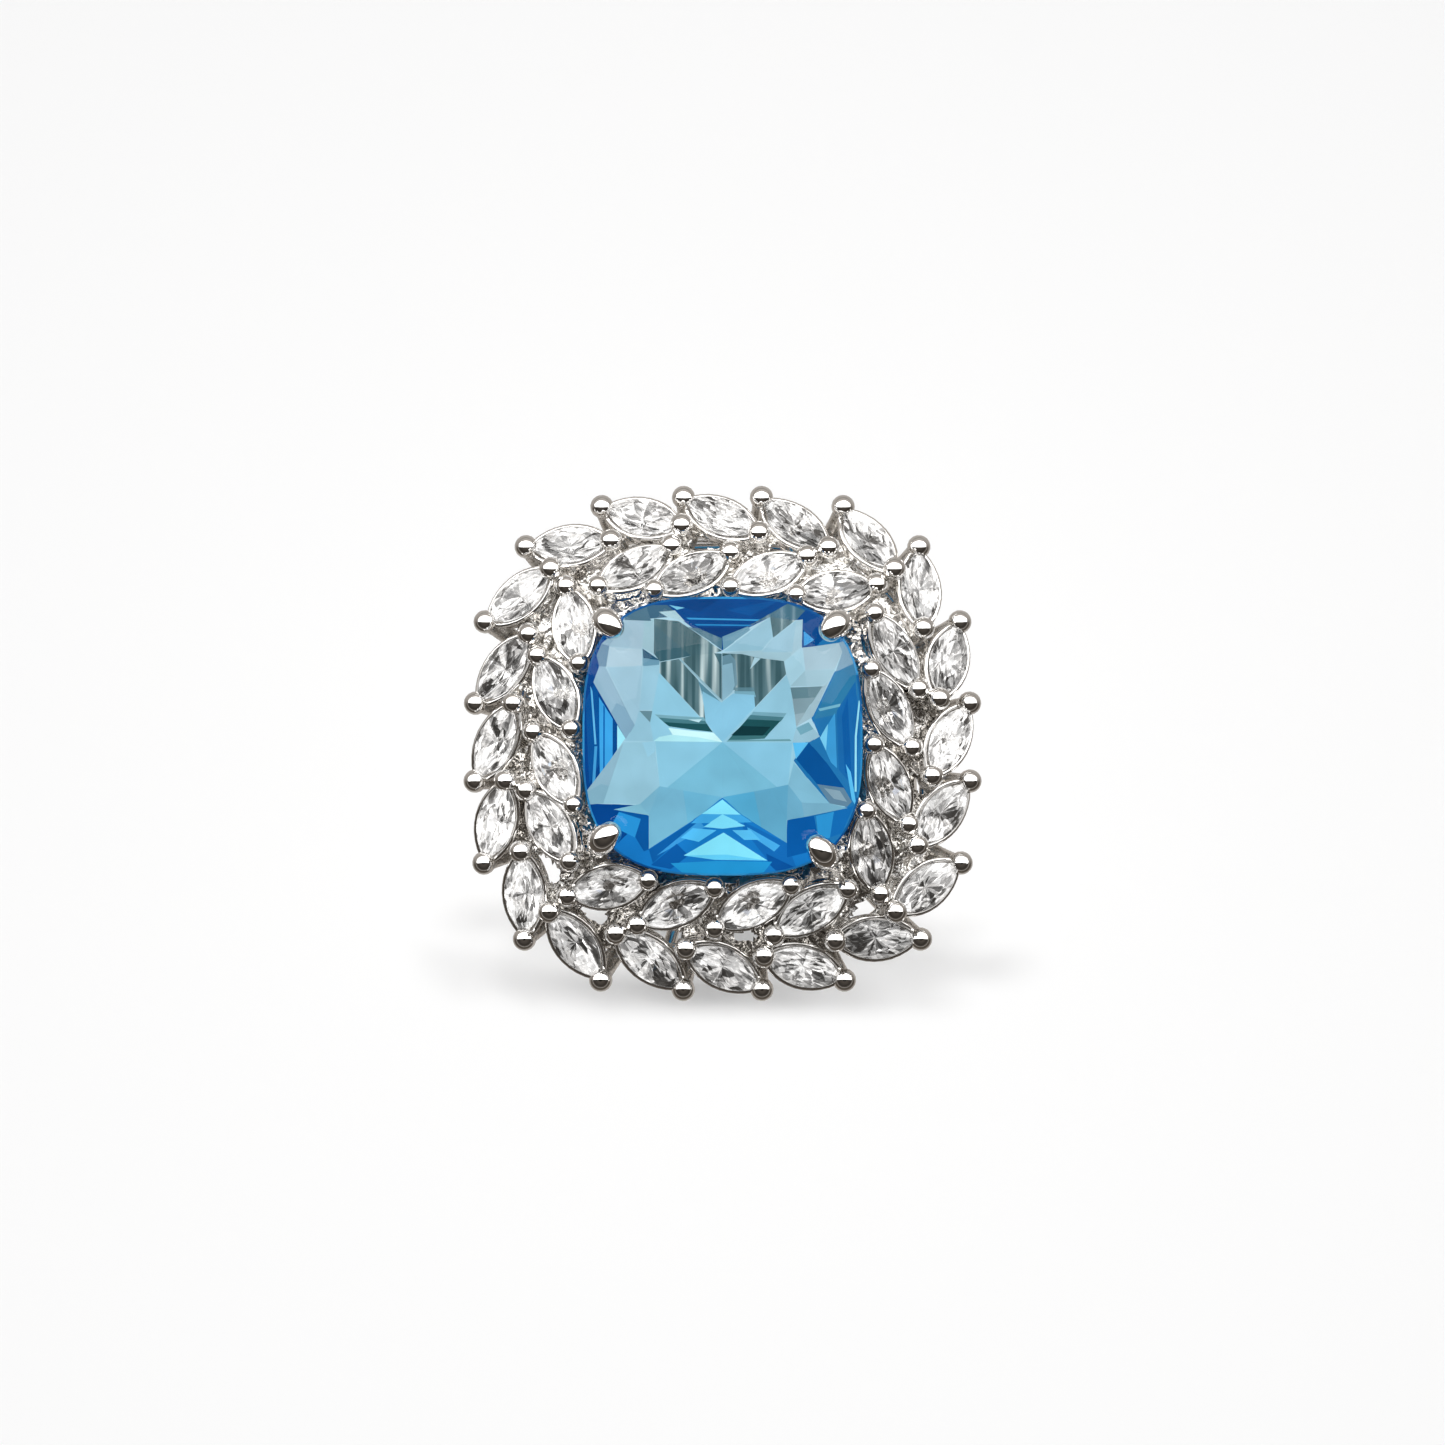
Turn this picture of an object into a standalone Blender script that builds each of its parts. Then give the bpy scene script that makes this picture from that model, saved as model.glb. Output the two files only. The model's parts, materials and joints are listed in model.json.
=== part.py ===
"""Cocktail ring: cushion centre stone in four claws, two-tier halo of marquise
stones held tip to tip by ball prongs, open gallery, cathedral shank.

Metres, +Z up through the table of the centre stone, finger axis along Y,
origin at the middle of the flat under the shank.
"""
import bpy
import bmesh
from math import radians, degrees, sin, cos, tan, asin, atan2, hypot, pi
from mathutils import Matrix, Vector

MM = 0.001

# ---------------------------------------------------------------- dimensions
# all in millimetres
FINGER_R = 8.65            # US size 7: 17.3 mm bore
SHANK_R = 10.45            # outside of the band, also the height of its centre
BASE_HALF = 4.6            # half length of the flat under a squared shank
PLATFORM_Z = 20.27         # top of the bridge that carries the head
PLATFORM_HALF = 9.0
BAND_W_BOTTOM = 3.8
BAND_W_TOP = 5.0

Z_OUTER = 24.6             # ball prongs at the outer tips of the outer row
Z_MID = 25.9               # ball prongs between the rows
Z_INNER = 27.2             # ball prongs against the centre stone
Z_GIRDLE = 27.8            # girdle of the centre stone
Z_CLAW = 28.9

OUTER_HALF, OUTER_POW = 12.62, 3.05   # rounded square through the outer balls
STONE_L, STONE_W = 4.0, 2.0           # marquise
GIRDLE_HALF, GIRDLE_POW = 7.05, 3.0   # cushion, 14.1 mm
BALL_R = 0.52
STEM_R = 0.30
LEAN = 20.0                # the marquise tables lean outward
CLEAR = 0.03               # between one piece and the next

# rail rings: half width, power, height, wire radius
OUTER_RAIL = (10.60, 3.0, 22.20, 0.45)
INNER_RAIL = (8.30, 3.0, 24.70, 0.45)
GALLERY_RING = (8.40, 2.6, 20.95, 0.65)
SEAT_RAIL = (5.70, 3.0, 25.90, 0.40)
BASE_RING_R, BASE_RING_Z, BASE_WIRE = 3.1, 20.80, 0.48

# inner row, one side: (angle, radius) of the outer and the inner ball,
# angles from the middle of the side, clockwise
INNER_ROW = (((-14.6, 10.28), (-39.3, 9.95)),
             ((2.4, 9.60), (-24.7, 8.26)),
             ((24.6, 10.34), (3.0, 7.66)),
             ((44.6, 11.17), (27.3, 8.16)))
# outer row, one side: inner ball of each stone
OUTER_ROW_IN = ((-29.2, 11.68), (-10.8, 11.20), (9.9, 10.78),
                (28.7, 11.23), (45.0, 12.37))

# ------------------------------------------------------------------ cleanup
for o in list(bpy.data.objects):
    bpy.data.objects.remove(o, do_unlink=True)

RING = bpy.data.collections.new("cocktail_ring")
bpy.context.scene.collection.children.link(RING)


def material(name, colour, metallic, roughness, transmission=0.0, ior=1.5):
    m = bpy.data.materials.new(name)
    m.use_nodes = True
    b = m.node_tree.nodes["Principled BSDF"]
    b.inputs["Base Color"].default_value = (*colour, 1)
    b.inputs["Metallic"].default_value = metallic
    b.inputs["Roughness"].default_value = roughness
    b.inputs["Transmission Weight"].default_value = transmission
    b.inputs["IOR"].default_value = ior
    m.diffuse_color = (*colour, 1)
    return m


SILVER = material("silver", (0.86, 0.86, 0.87), 1.0, 0.12)
CLEAR_STONE = material("clear_stone", (0.97, 0.98, 1.0), 0.0, 0.02, 0.9, 1.95)
BLUE_STONE = material("blue_stone", (0.10, 0.45, 0.75), 0.0, 0.02, 0.8, 1.65)


# ------------------------------------------------------------------ helpers
def squircle(half, power, ang):
    a = radians(ang)
    return half / (abs(cos(a)) ** power + abs(sin(a)) ** power) ** (1 / power)


def polar(ang, r, z):
    return Vector((r * sin(radians(ang)), r * cos(radians(ang)), z))


def scratch(name):
    c = bpy.data.collections.new(name)
    bpy.context.scene.collection.children.link(c)
    return c


def to_mesh(obj, weld=0.0005):
    """The evaluated object as a plain mesh object in its place, in metres."""
    dg = bpy.context.evaluated_depsgraph_get()
    mesh = bpy.data.meshes.new_from_object(obj.evaluated_get(dg))
    bm = bmesh.new()
    bm.from_mesh(mesh)
    bmesh.ops.remove_doubles(bm, verts=bm.verts, dist=weld * MM)
    bmesh.ops.recalc_face_normals(bm, faces=bm.faces)
    bm.to_mesh(mesh)
    bm.free()
    new = bpy.data.objects.new(obj.name, mesh)
    new.matrix_world = obj.matrix_world.copy()
    coll = obj.users_collection[0]
    coll.objects.link(new)
    bpy.data.objects.remove(obj, do_unlink=True)
    return new


def wire(coll, name, points, radius, closed=False, scales=None, res=1):
    """A round wire along the points (mm)."""
    cu = bpy.data.curves.new(name, "CURVE")
    cu.dimensions = "3D"
    cu.bevel_depth = radius * MM
    cu.bevel_resolution = res
    cu.use_fill_caps = not closed
    sp = cu.splines.new("POLY")
    sp.points.add(len(points) - 1)
    for i, p in enumerate(points):
        sp.points[i].co = (*(Vector(p) * MM), 1)
        sp.points[i].radius = scales[i] if scales else 1.0
    sp.use_cyclic_u = closed
    ob = bpy.data.objects.new(name, cu)
    coll.objects.link(ob)
    return to_mesh(ob)


def ball(coll, name, centre, radius, squash=1.0, normal=Vector((0, 0, 1)), seg=6, rings=4):
    mesh = bpy.data.meshes.new(name)
    bm = bmesh.new()
    bmesh.ops.create_uvsphere(bm, u_segments=seg, v_segments=rings, radius=radius * MM)
    bmesh.ops.scale(bm, vec=(1, 1, squash), verts=bm.verts)
    bmesh.ops.rotate(bm, cent=(0, 0, 0), matrix=Vector((0, 0, 1)).rotation_difference(normal).to_matrix(), verts=bm.verts)
    bm.to_mesh(mesh)
    bm.free()
    ob = bpy.data.objects.new(name, mesh)
    ob.location = centre * MM
    coll.objects.link(ob)
    return ob


def ring_points(spec, n):
    half, power, z, _ = spec
    return [polar(360 * (i + 0.5) / n, squircle(half, power, 360 * (i + 0.5) / n), z)
            for i in range(n)]


def boolean(obj, coll, operation):
    """Apply an exact Boolean against every object of a collection, then drop them."""
    bpy.context.view_layer.update()
    m = obj.modifiers.new("bool", "BOOLEAN")
    m.operation = operation
    m.solver = "EXACT"
    m.operand_type = "COLLECTION"
    m.collection = coll
    new = to_mesh(obj, 0.0002)
    for o in list(coll.objects):
        bpy.data.objects.remove(o, do_unlink=True)
    bpy.data.collections.remove(coll)
    return new


def unite(name, pieces):
    first = pieces[0]
    rest = scratch("join_" + name)
    for p in pieces[1:]:
        for c in list(p.users_collection):
            c.objects.unlink(p)
        rest.objects.link(p)
    out = boolean(first, rest, "UNION")
    out.name = name
    return out


def finish(obj, name, mat, sharp=35):
    for c in list(obj.users_collection):
        c.objects.unlink(obj)
    RING.objects.link(obj)
    obj.name = name
    obj.data.name = name
    bm = bmesh.new()
    bm.from_mesh(obj.data)
    bmesh.ops.dissolve_degenerate(bm, edges=bm.edges, dist=0.0002 * MM)
    bmesh.ops.triangulate(bm, faces=bm.faces)
    bmesh.ops.remove_doubles(bm, verts=bm.verts, dist=0.0002 * MM)
    bmesh.ops.recalc_face_normals(bm, faces=bm.faces)
    bm.to_mesh(obj.data)
    bm.free()
    obj.data.materials.clear()
    obj.data.materials.append(mat)
    obj.data.shade_smooth()
    obj.data.set_sharp_from_angle(angle=radians(sharp))
    return obj


# ------------------------------------------------------------- stone cutting
def outline_blank(points, low, high):
    """A flat outline (mm) extruded from low to high, ready to be cut."""
    cu = bpy.data.curves.new("blank", "CURVE")
    cu.dimensions = "2D"
    cu.fill_mode = "BOTH"
    cu.extrude = (high - low) / 2 * MM
    sp = cu.splines.new("POLY")
    sp.points.add(len(points) - 1)
    for i, (x, y) in enumerate(points):
        sp.points[i].co = (x * MM, y * MM, 0, 1)
    sp.use_cyclic_u = True
    ob = bpy.data.objects.new("blank", cu)
    bpy.context.scene.collection.objects.link(ob)
    ob.location = (0, 0, (high + low) / 2 * MM)
    bpy.context.view_layer.update()
    ob = to_mesh(ob)
    bm = bmesh.new()
    bm.from_mesh(ob.data)
    bmesh.ops.transform(bm, matrix=ob.matrix_world, verts=bm.verts)
    bpy.data.objects.remove(ob, do_unlink=True)
    return bm


def slice_off(bm, point, normal):
    """Cut the solid with a plane and keep the side behind it."""
    geom = list(bm.verts) + list(bm.edges) + list(bm.faces)
    cut = bmesh.ops.bisect_plane(bm, geom=geom, dist=1e-7, plane_co=point, plane_no=normal,
                                 clear_outer=True, clear_inner=False)
    edges = [e for e in cut["geom_cut"] if isinstance(e, bmesh.types.BMEdge)]
    if edges:
        bmesh.ops.edgenet_fill(bm, edges=edges)


def facet(bm, outline, grow, at, slope, up, every=1, offset=0):
    """One cut per edge of the outline, through that edge at height at,
    leaning in by slope degrees."""
    n = len(outline)
    for i in range(offset, n, every):
        a, b = outline[i], outline[(i + 1) % n]
        mx, my = (a[0] + b[0]) / 2, (a[1] + b[1]) / 2
        ex, ey = b[0] - a[0], b[1] - a[1]
        nx, ny = ey, -ex
        if nx * mx + ny * my < 0:
            nx, ny = -nx, -ny
        k = hypot(nx, ny)
        nx, ny = nx / k, ny / k
        s = radians(slope)
        slice_off(bm, Vector((mx, my, at)) * MM, Vector((nx * sin(s), ny * sin(s), up * cos(s))))


def marquise_outline(length, width, n=5):
    r = (length * length / 4 + width * width / 4) / width
    h = r - width / 2
    a = asin(length / 2 / r)
    pts = [(r * sin(-a + 2 * a * i / n), r * cos(-a + 2 * a * i / n) - h) for i in range(n)]
    pts += [(-x, -y) for x, y in pts]
    return pts


def cut_marquise(grow=0.0):
    out = marquise_outline(STONE_L + 2.4 * grow, STONE_W + 2 * grow)
    bm = outline_blank(out, -0.92 - grow, 0.36 + grow)
    facet(bm, out, grow, 0.05 + grow * 0.4, 34, 1)
    facet(bm, out, grow, -0.05 - grow * 0.4, 43, -1)
    bmesh.ops.remove_doubles(bm, verts=bm.verts, dist=0.006 * MM)
    bmesh.ops.recalc_face_normals(bm, faces=bm.faces)
    mesh = bpy.data.meshes.new("marquise_cut")
    bm.to_mesh(mesh)
    bm.free()
    return mesh


def cut_cushion(grow=0.0):
    n = 24
    out = [(squircle(GIRDLE_HALF + grow, GIRDLE_POW, 360 * (i + 0.5) / n) * cos(radians(360 * (i + 0.5) / n)),
            squircle(GIRDLE_HALF + grow, GIRDLE_POW, 360 * (i + 0.5) / n) * sin(radians(360 * (i + 0.5) / n)))
           for i in range(n)]
    bm = outline_blank(out, -5.75 - grow, 1.75 + grow)
    facet(bm, out, grow, 0.12 + grow * 0.4, 34, 1)
    facet(bm, out, grow, -0.12 - grow * 0.4, 50, -1)
    inner = [(0.62 * x, 0.62 * y) for x, y in out]
    facet(bm, inner, grow, -3.05 - grow, 34, -1, every=3, offset=1)
    bmesh.ops.remove_doubles(bm, verts=bm.verts, dist=0.01 * MM)
    bmesh.ops.recalc_face_normals(bm, faces=bm.faces)
    mesh = bpy.data.meshes.new("cushion_cut")
    bm.to_mesh(mesh)
    bm.free()
    return mesh


# ------------------------------------------------------------ stone placing
class Seat:
    """One marquise: ball centres, stone centre and its own axes."""

    def __init__(self, name, outer, inner):
        self.name = name
        self.outer, self.inner = outer, inner
        u = (inner - outer)
        self.span = u.length
        u.normalize()
        mid = (outer + inner) / 2
        radial = Vector((mid.x, mid.y, 0)).normalized()
        n = Vector((0, 0, 1)) + tan(radians(LEAN)) * radial
        n -= n.dot(u) * u
        n.normalize()
        self.u, self.n, self.w = u, n, n.cross(u)
        self.centre = mid - 0.12 * n

    def matrix(self):
        m = Matrix((self.u, self.w, self.n)).transposed().to_4x4()
        m.translation = self.centre * MM
        return m

    def at(self, x, y, z):
        return self.centre + self.u * x + self.w * y + self.n * z


outer_seats, inner_seats = [], []
for side in range(4):
    for k in range(5):
        ang = -45 + 18 * k + 90 * side
        a_in, r_in = OUTER_ROW_IN[k]
        outer_seats.append(Seat("outer_marquise_%02d" % (5 * side + k + 1),
                                polar(ang, squircle(OUTER_HALF, OUTER_POW, ang), Z_OUTER),
                                polar(a_in + 90 * side, r_in, Z_MID)))
    for k, ((a_out, r_out), (a_in, r_in)) in enumerate(INNER_ROW):
        inner_seats.append(Seat("inner_marquise_%02d" % (4 * side + k + 1),
                                polar(a_out + 90 * side, r_out, Z_MID),
                                polar(a_in + 90 * side, r_in, Z_INNER)))

marquise = cut_marquise()
for s in outer_seats + inner_seats:
    ob = bpy.data.objects.new(s.name, marquise.copy())
    bpy.context.scene.collection.objects.link(ob)
    ob.matrix_world = s.matrix()
    finish(ob, s.name, CLEAR_STONE, 5)

centre = bpy.data.objects.new("centre_stone", cut_cushion())
bpy.context.scene.collection.objects.link(centre)
centre.location = (0, 0, Z_GIRDLE * MM)
finish(centre, "centre_stone", BLUE_STONE, 5)


def stone_cutters(seats, with_centre=True):
    """Slightly larger copies of the stones, to open their seats in the metal."""
    c = scratch("stone_cutters")
    big = cut_marquise(CLEAR)
    for s in seats:
        ob = bpy.data.objects.new("cut_" + s.name, big.copy())
        c.objects.link(ob)
        ob.matrix_world = s.matrix()
    if with_centre:
        ob = bpy.data.objects.new("cut_centre", cut_cushion(CLEAR))
        c.objects.link(ob)
        ob.location = (0, 0, Z_GIRDLE * MM)
    return c


# ------------------------------------------------------------- metal pieces
def prongs(coll, seats, rail, grow=0.0):
    """Two ball prongs to each stone, standing on the rail, and its boat collet."""
    half, power, z, _ = rail
    out = []
    for s in seats:
        for ballpos, sign in ((s.outer, -1), (s.inner, 1)):
            ang = degrees(atan2(ballpos.x, ballpos.y))
            foot = polar(ang, squircle(half, power, ang), z)
            knee = ballpos - 0.85 * s.n + 0.04 * sign * s.u
            out.append(wire(coll, "stem", [ballpos - 0.05 * s.n, knee, foot],
                            STEM_R + grow, scales=[1.0, 1.0, 1.25], res=0))
            out.append(ball(coll, "ball", ballpos, BALL_R + grow, normal=s.n))
        boat = [s.at(x, y, -0.52) for x, y in
                marquise_outline(s.span - 0.10, 1.74, 4)]
        out.append(wire(coll, "collet", boat, 0.17 + grow, closed=True, res=0))
    return out


def gussets(coll, grow=0.0):
    """Cast corner plates between the centre claws and the inner rail."""
    out = []
    for side in range(4):
        ang = 45 + 90 * side
        mesh = bpy.data.meshes.new("gusset")
        bm = bmesh.new()
        bmesh.ops.create_cube(bm, size=1.0)
        bmesh.ops.scale(bm, vec=((2.5 + 2 * grow) * MM, (2.9 + 2 * grow) * MM, (1.1 + 2 * grow) * MM), verts=bm.verts)
        bm.to_mesh(mesh)
        bm.free()
        ob = bpy.data.objects.new("gusset", mesh)
        coll.objects.link(ob)
        ob.location = polar(ang, 8.35, 25.5) * MM
        ob.rotation_euler = (0, 0, radians(90 - ang))
        out.append(ob)
    return out


def inner_frame(coll, grow=0.0):
    out = [wire(coll, "rail", ring_points(INNER_RAIL, 28), INNER_RAIL[3] + grow, closed=True)]
    out += prongs(coll, inner_seats, INNER_RAIL, grow)
    out += gussets(coll, grow)
    return out


def outer_frame(coll, grow=0.0):
    out = [wire(coll, "rail", ring_points(OUTER_RAIL, 36), OUTER_RAIL[3] + grow, closed=True)]
    return out + prongs(coll, outer_seats, OUTER_RAIL, grow)


def basket(coll, grow=0.0):
    """Four claws, a seat rail under the pavilion and the base ring."""
    out = [wire(coll, "base", [polar(15 * i, BASE_RING_R, BASE_RING_Z) for i in range(24)],
                BASE_WIRE + grow, closed=True),
           wire(coll, "seat", ring_points(SEAT_RAIL, 24), SEAT_RAIL[3] + grow, closed=True)]
    for side in range(4):
        ang = 45 + 90 * side
        path = [polar(ang, 7.80, Z_CLAW), polar(ang, 8.30, 28.45), polar(ang, 8.42, 27.7),
                polar(ang, 6.65, 25.7), polar(ang, 3.1, 20.85)]
        out.append(wire(coll, "claw", path, 0.50 + grow, scales=[0.9, 1, 1, 0.95, 0.9], res=1))
        out.append(ball(coll, "claw_tip", polar(ang, 7.78, Z_CLAW), 0.72 + grow, squash=0.8,
                        seg=10, rings=6))
    return out


def gallery(coll, grow=0.0):
    """The ring under the head, with struts to the outer rail and posts to the inner."""
    out = [wire(coll, "ring", ring_points(GALLERY_RING, 36), GALLERY_RING[3] + grow, closed=True)]
    for i in range(12):
        ang = 15 + 30 * i
        a = polar(ang, squircle(*GALLERY_RING[:2], ang), GALLERY_RING[2])
        b = polar(ang, squircle(*OUTER_RAIL[:2], ang), OUTER_RAIL[2])
        out.append(wire(coll, "strut", [a, b], 0.36 + grow))
    for i in range(8):
        ang = 22.5 + 45 * i
        a = polar(ang, squircle(*GALLERY_RING[:2], ang), GALLERY_RING[2])
        b = polar(ang, squircle(*INNER_RAIL[:2], ang), INNER_RAIL[2])
        out.append(wire(coll, "post", [a, b], 0.38 + grow))
    return out


def drop_into(coll, objs):
    for o in objs:
        for c in list(o.users_collection):
            c.objects.unlink(o)
        coll.objects.link(o)


work = scratch("work")

centre_basket = unite("centre_basket", basket(work))
centre_basket = boolean(centre_basket, stone_cutters([]), "DIFFERENCE")
finish(centre_basket, "centre_basket", SILVER)

inner_halo = unite("inner_halo_frame", inner_frame(work))
inner_halo = boolean(inner_halo, stone_cutters(inner_seats + outer_seats), "DIFFERENCE")
cut = scratch("cut_basket")
basket(cut, CLEAR)
inner_halo = boolean(inner_halo, cut, "DIFFERENCE")
finish(inner_halo, "inner_halo_frame", SILVER)

outer_halo = unite("outer_halo_frame", outer_frame(work))
outer_halo = boolean(outer_halo, stone_cutters(inner_seats + outer_seats, False), "DIFFERENCE")
cut = scratch("cut_inner")
inner_frame(cut, CLEAR)
outer_halo = boolean(outer_halo, cut, "DIFFERENCE")
finish(outer_halo, "outer_halo_frame", SILVER)

rail = unite("gallery_rail", gallery(work))
cut = scratch("cut_rails")
wire(cut, "a", ring_points(OUTER_RAIL, 36), OUTER_RAIL[3] + CLEAR, closed=True)
wire(cut, "b", ring_points(INNER_RAIL, 28), INNER_RAIL[3] + CLEAR, closed=True)
rail = boolean(rail, cut, "DIFFERENCE")
finish(rail, "gallery_rail", SILVER)


# -------------------------------------------------------------------- shank
def shank_outline():
    """Side view of the band: round below with a squared base, cathedral
    shoulders rising straight to the platform."""
    pts = [(BASE_HALF, 0.0)]
    start = degrees(atan2(1.15 - SHANK_R, 4.75))
    pts.append((BASE_HALF + 0.45, 0.55))
    steps = 14
    end = degrees(atan2(12.2 - SHANK_R, 10.3))
    first = degrees(atan2(1.9 - SHANK_R, 6.0))
    for i in range(steps + 1):
        a = radians(first + (end - first) * i / steps)
        pts.append((SHANK_R * cos(a), SHANK_R + SHANK_R * sin(a)))
    pts += [(9.75, 15.6), (9.25, 18.6), (PLATFORM_HALF, PLATFORM_Z - 0.35),
            (PLATFORM_HALF - 0.35, PLATFORM_Z)]
    return pts + [(-x, z) for x, z in reversed(pts)]


def extruded(coll, name, outlines, depth):
    cu = bpy.data.curves.new(name, "CURVE")
    cu.dimensions = "2D"
    cu.fill_mode = "BOTH"
    cu.extrude = depth / 2 * MM
    for pts in outlines:
        sp = cu.splines.new("POLY")
        sp.points.add(len(pts) - 1)
        for i, (x, z) in enumerate(pts):
            sp.points[i].co = (x * MM, z * MM, 0, 1)
        sp.use_cyclic_u = True
    ob = bpy.data.objects.new(name, cu)
    coll.objects.link(ob)
    ob.rotation_euler = (radians(90), 0, 0)
    bpy.context.view_layer.update()
    return to_mesh(ob)


bore = [(FINGER_R * cos(2 * pi * (i + 0.5) / 56), SHANK_R + FINGER_R * sin(2 * pi * (i + 0.5) / 56))
        for i in range(56)]
window = [(5.9, 18.85), (7.75, 18.85), (7.95, 17.2), (7.6, 17.05)]
shank = extruded(work, "shank", [shank_outline(), bore, window, [(-x, z) for x, z in window]], 1.0)
bm = bmesh.new()
bm.from_mesh(shank.data)
bmesh.ops.transform(bm, matrix=shank.matrix_world, verts=bm.verts)
for v in bm.verts:
    t = min(max(v.co.z / MM / PLATFORM_Z, 0.0), 1.0)
    v.co.y *= BAND_W_BOTTOM + (BAND_W_TOP - BAND_W_BOTTOM) * t * t
rim = [e for e in bm.edges if len(e.link_faces) == 2
       and e.calc_face_angle(0) > radians(60)
       and abs(e.verts[0].co.y - e.verts[1].co.y) < 0.3 * MM]
bmesh.ops.bevel(bm, geom=rim, offset=0.35 * MM, segments=1, affect="EDGES", profile=0.5,
                clamp_overlap=True)
bmesh.ops.recalc_face_normals(bm, faces=bm.faces)
bm.to_mesh(shank.data)
bm.free()
shank.matrix_world = Matrix.Identity(4)
cut = scratch("cut_shank")
wire(cut, "g", ring_points(GALLERY_RING, 36), GALLERY_RING[3] + CLEAR, closed=True)
wire(cut, "b", [polar(15 * i, BASE_RING_R, BASE_RING_Z) for i in range(24)],
     BASE_WIRE + CLEAR, closed=True)
shank = boolean(shank, cut, "DIFFERENCE")
finish(shank, "shank", SILVER, 30)

bpy.data.collections.remove(work)
for o in list(bpy.context.scene.collection.objects):
    if o.type == "MESH" and o.name not in RING.objects:
        bpy.data.objects.remove(o, do_unlink=True)
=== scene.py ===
"""Looks of the cocktail ring: every CAD node is replaced by a finished piece of the
same size in the same place, built here in mesh code with node materials."""
import bpy
import bmesh
import json
import random
from math import radians, degrees, sin, cos, tan, asin, acos, atan2, hypot, pi, sqrt
from mathutils import Matrix, Vector, geometry, noise

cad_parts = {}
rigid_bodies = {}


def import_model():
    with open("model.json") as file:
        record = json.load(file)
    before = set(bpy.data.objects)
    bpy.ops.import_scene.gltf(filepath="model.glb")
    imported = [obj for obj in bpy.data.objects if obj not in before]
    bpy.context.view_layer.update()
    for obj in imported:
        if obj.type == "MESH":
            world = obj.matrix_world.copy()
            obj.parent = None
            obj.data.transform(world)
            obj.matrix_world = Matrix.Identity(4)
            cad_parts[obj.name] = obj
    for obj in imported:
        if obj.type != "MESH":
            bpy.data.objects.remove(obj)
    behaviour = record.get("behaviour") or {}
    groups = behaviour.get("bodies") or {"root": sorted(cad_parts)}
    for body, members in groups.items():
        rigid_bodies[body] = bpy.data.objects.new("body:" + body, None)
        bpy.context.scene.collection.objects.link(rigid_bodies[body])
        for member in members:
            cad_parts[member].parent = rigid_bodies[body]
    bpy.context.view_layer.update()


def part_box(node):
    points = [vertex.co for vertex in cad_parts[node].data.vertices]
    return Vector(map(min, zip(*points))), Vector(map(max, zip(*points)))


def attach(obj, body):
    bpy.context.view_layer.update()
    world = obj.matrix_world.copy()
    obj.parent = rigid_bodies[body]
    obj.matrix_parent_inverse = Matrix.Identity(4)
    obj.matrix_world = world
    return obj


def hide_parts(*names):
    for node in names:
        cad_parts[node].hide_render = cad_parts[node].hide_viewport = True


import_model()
MM = 0.001

# ------------------------------------------------------------------ layout, mm
FINGER_R, SHANK_R = 8.65, 10.45
BASE_HALF, PLATFORM_Z, PLATFORM_HALF = 4.6, 20.27, 9.0
BAND_W_BOTTOM, BAND_W_TOP = 3.8, 5.0
Z_OUTER, Z_MID, Z_INNER, Z_GIRDLE, Z_CLAW = 24.6, 25.9, 27.2, 27.8, 28.9
OUTER_HALF, OUTER_POW = 12.62, 3.05
STONE_L, STONE_W = 4.0, 2.0
GIRDLE_HALF, GIRDLE_POW = 7.05, 3.0
LEAN = 20.0
OUTER_RAIL = (10.60, 3.0, 22.20, 0.45)
INNER_RAIL = (8.30, 3.0, 24.70, 0.45)
GALLERY_RING = (8.40, 2.6, 20.95, 0.65)
SEAT_RAIL = (5.70, 3.0, 25.90, 0.40)
BASE_RING_R, BASE_RING_Z, BASE_WIRE = 3.1, 20.80, 0.48
INNER_ROW = (((-14.6, 10.28), (-39.3, 9.95)),
             ((2.4, 9.60), (-24.7, 8.26)),
             ((24.6, 10.34), (3.0, 7.66)),
             ((44.6, 11.17), (27.3, 8.16)))
OUTER_ROW_IN = ((-29.2, 11.68), (-10.8, 11.20), (9.9, 10.78), (28.7, 11.23), (45.0, 12.37))


def squircle(half, power, ang):
    a = radians(ang)
    return half / (abs(cos(a)) ** power + abs(sin(a)) ** power) ** (1 / power)


def polar(ang, r, z):
    return Vector((r * sin(radians(ang)), r * cos(radians(ang)), z))


class Seat:
    def __init__(self, name, outer, inner):
        self.name, self.outer, self.inner = name, outer, inner
        u = inner - outer
        self.span = u.length
        u.normalize()
        mid = (outer + inner) / 2
        radial = Vector((mid.x, mid.y, 0)).normalized()
        n = Vector((0, 0, 1)) + tan(radians(LEAN)) * radial
        n -= n.dot(u) * u
        n.normalize()
        self.u, self.n, self.w = u, n, n.cross(u)
        self.centre = mid - 0.12 * n

    def matrix(self):
        m = Matrix((self.u, self.w, self.n)).transposed().to_4x4()
        m.translation = self.centre * MM
        return m

    def at(self, x, y, z):
        return self.centre + self.u * x + self.w * y + self.n * z


outer_seats, inner_seats = [], []
for side in range(4):
    for k in range(5):
        ang = -45 + 18 * k + 90 * side
        outer_seats.append(Seat("outer_marquise_%02d" % (5 * side + k + 1),
                                polar(ang, squircle(OUTER_HALF, OUTER_POW, ang), Z_OUTER),
                                polar(OUTER_ROW_IN[k][0] + 90 * side, OUTER_ROW_IN[k][1], Z_MID)))
    for k, ((a_out, r_out), (a_in, r_in)) in enumerate(INNER_ROW):
        inner_seats.append(Seat("inner_marquise_%02d" % (4 * side + k + 1),
                                polar(a_out + 90 * side, r_out, Z_MID),
                                polar(a_in + 90 * side, r_in, Z_INNER)))

# every stone must sit where its CAD node sits
for s in outer_seats + inner_seats:
    lo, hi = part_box(s.name)
    assert ((lo + hi) / 2 - s.centre * MM).length < 0.5 * MM, s.name


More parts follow.
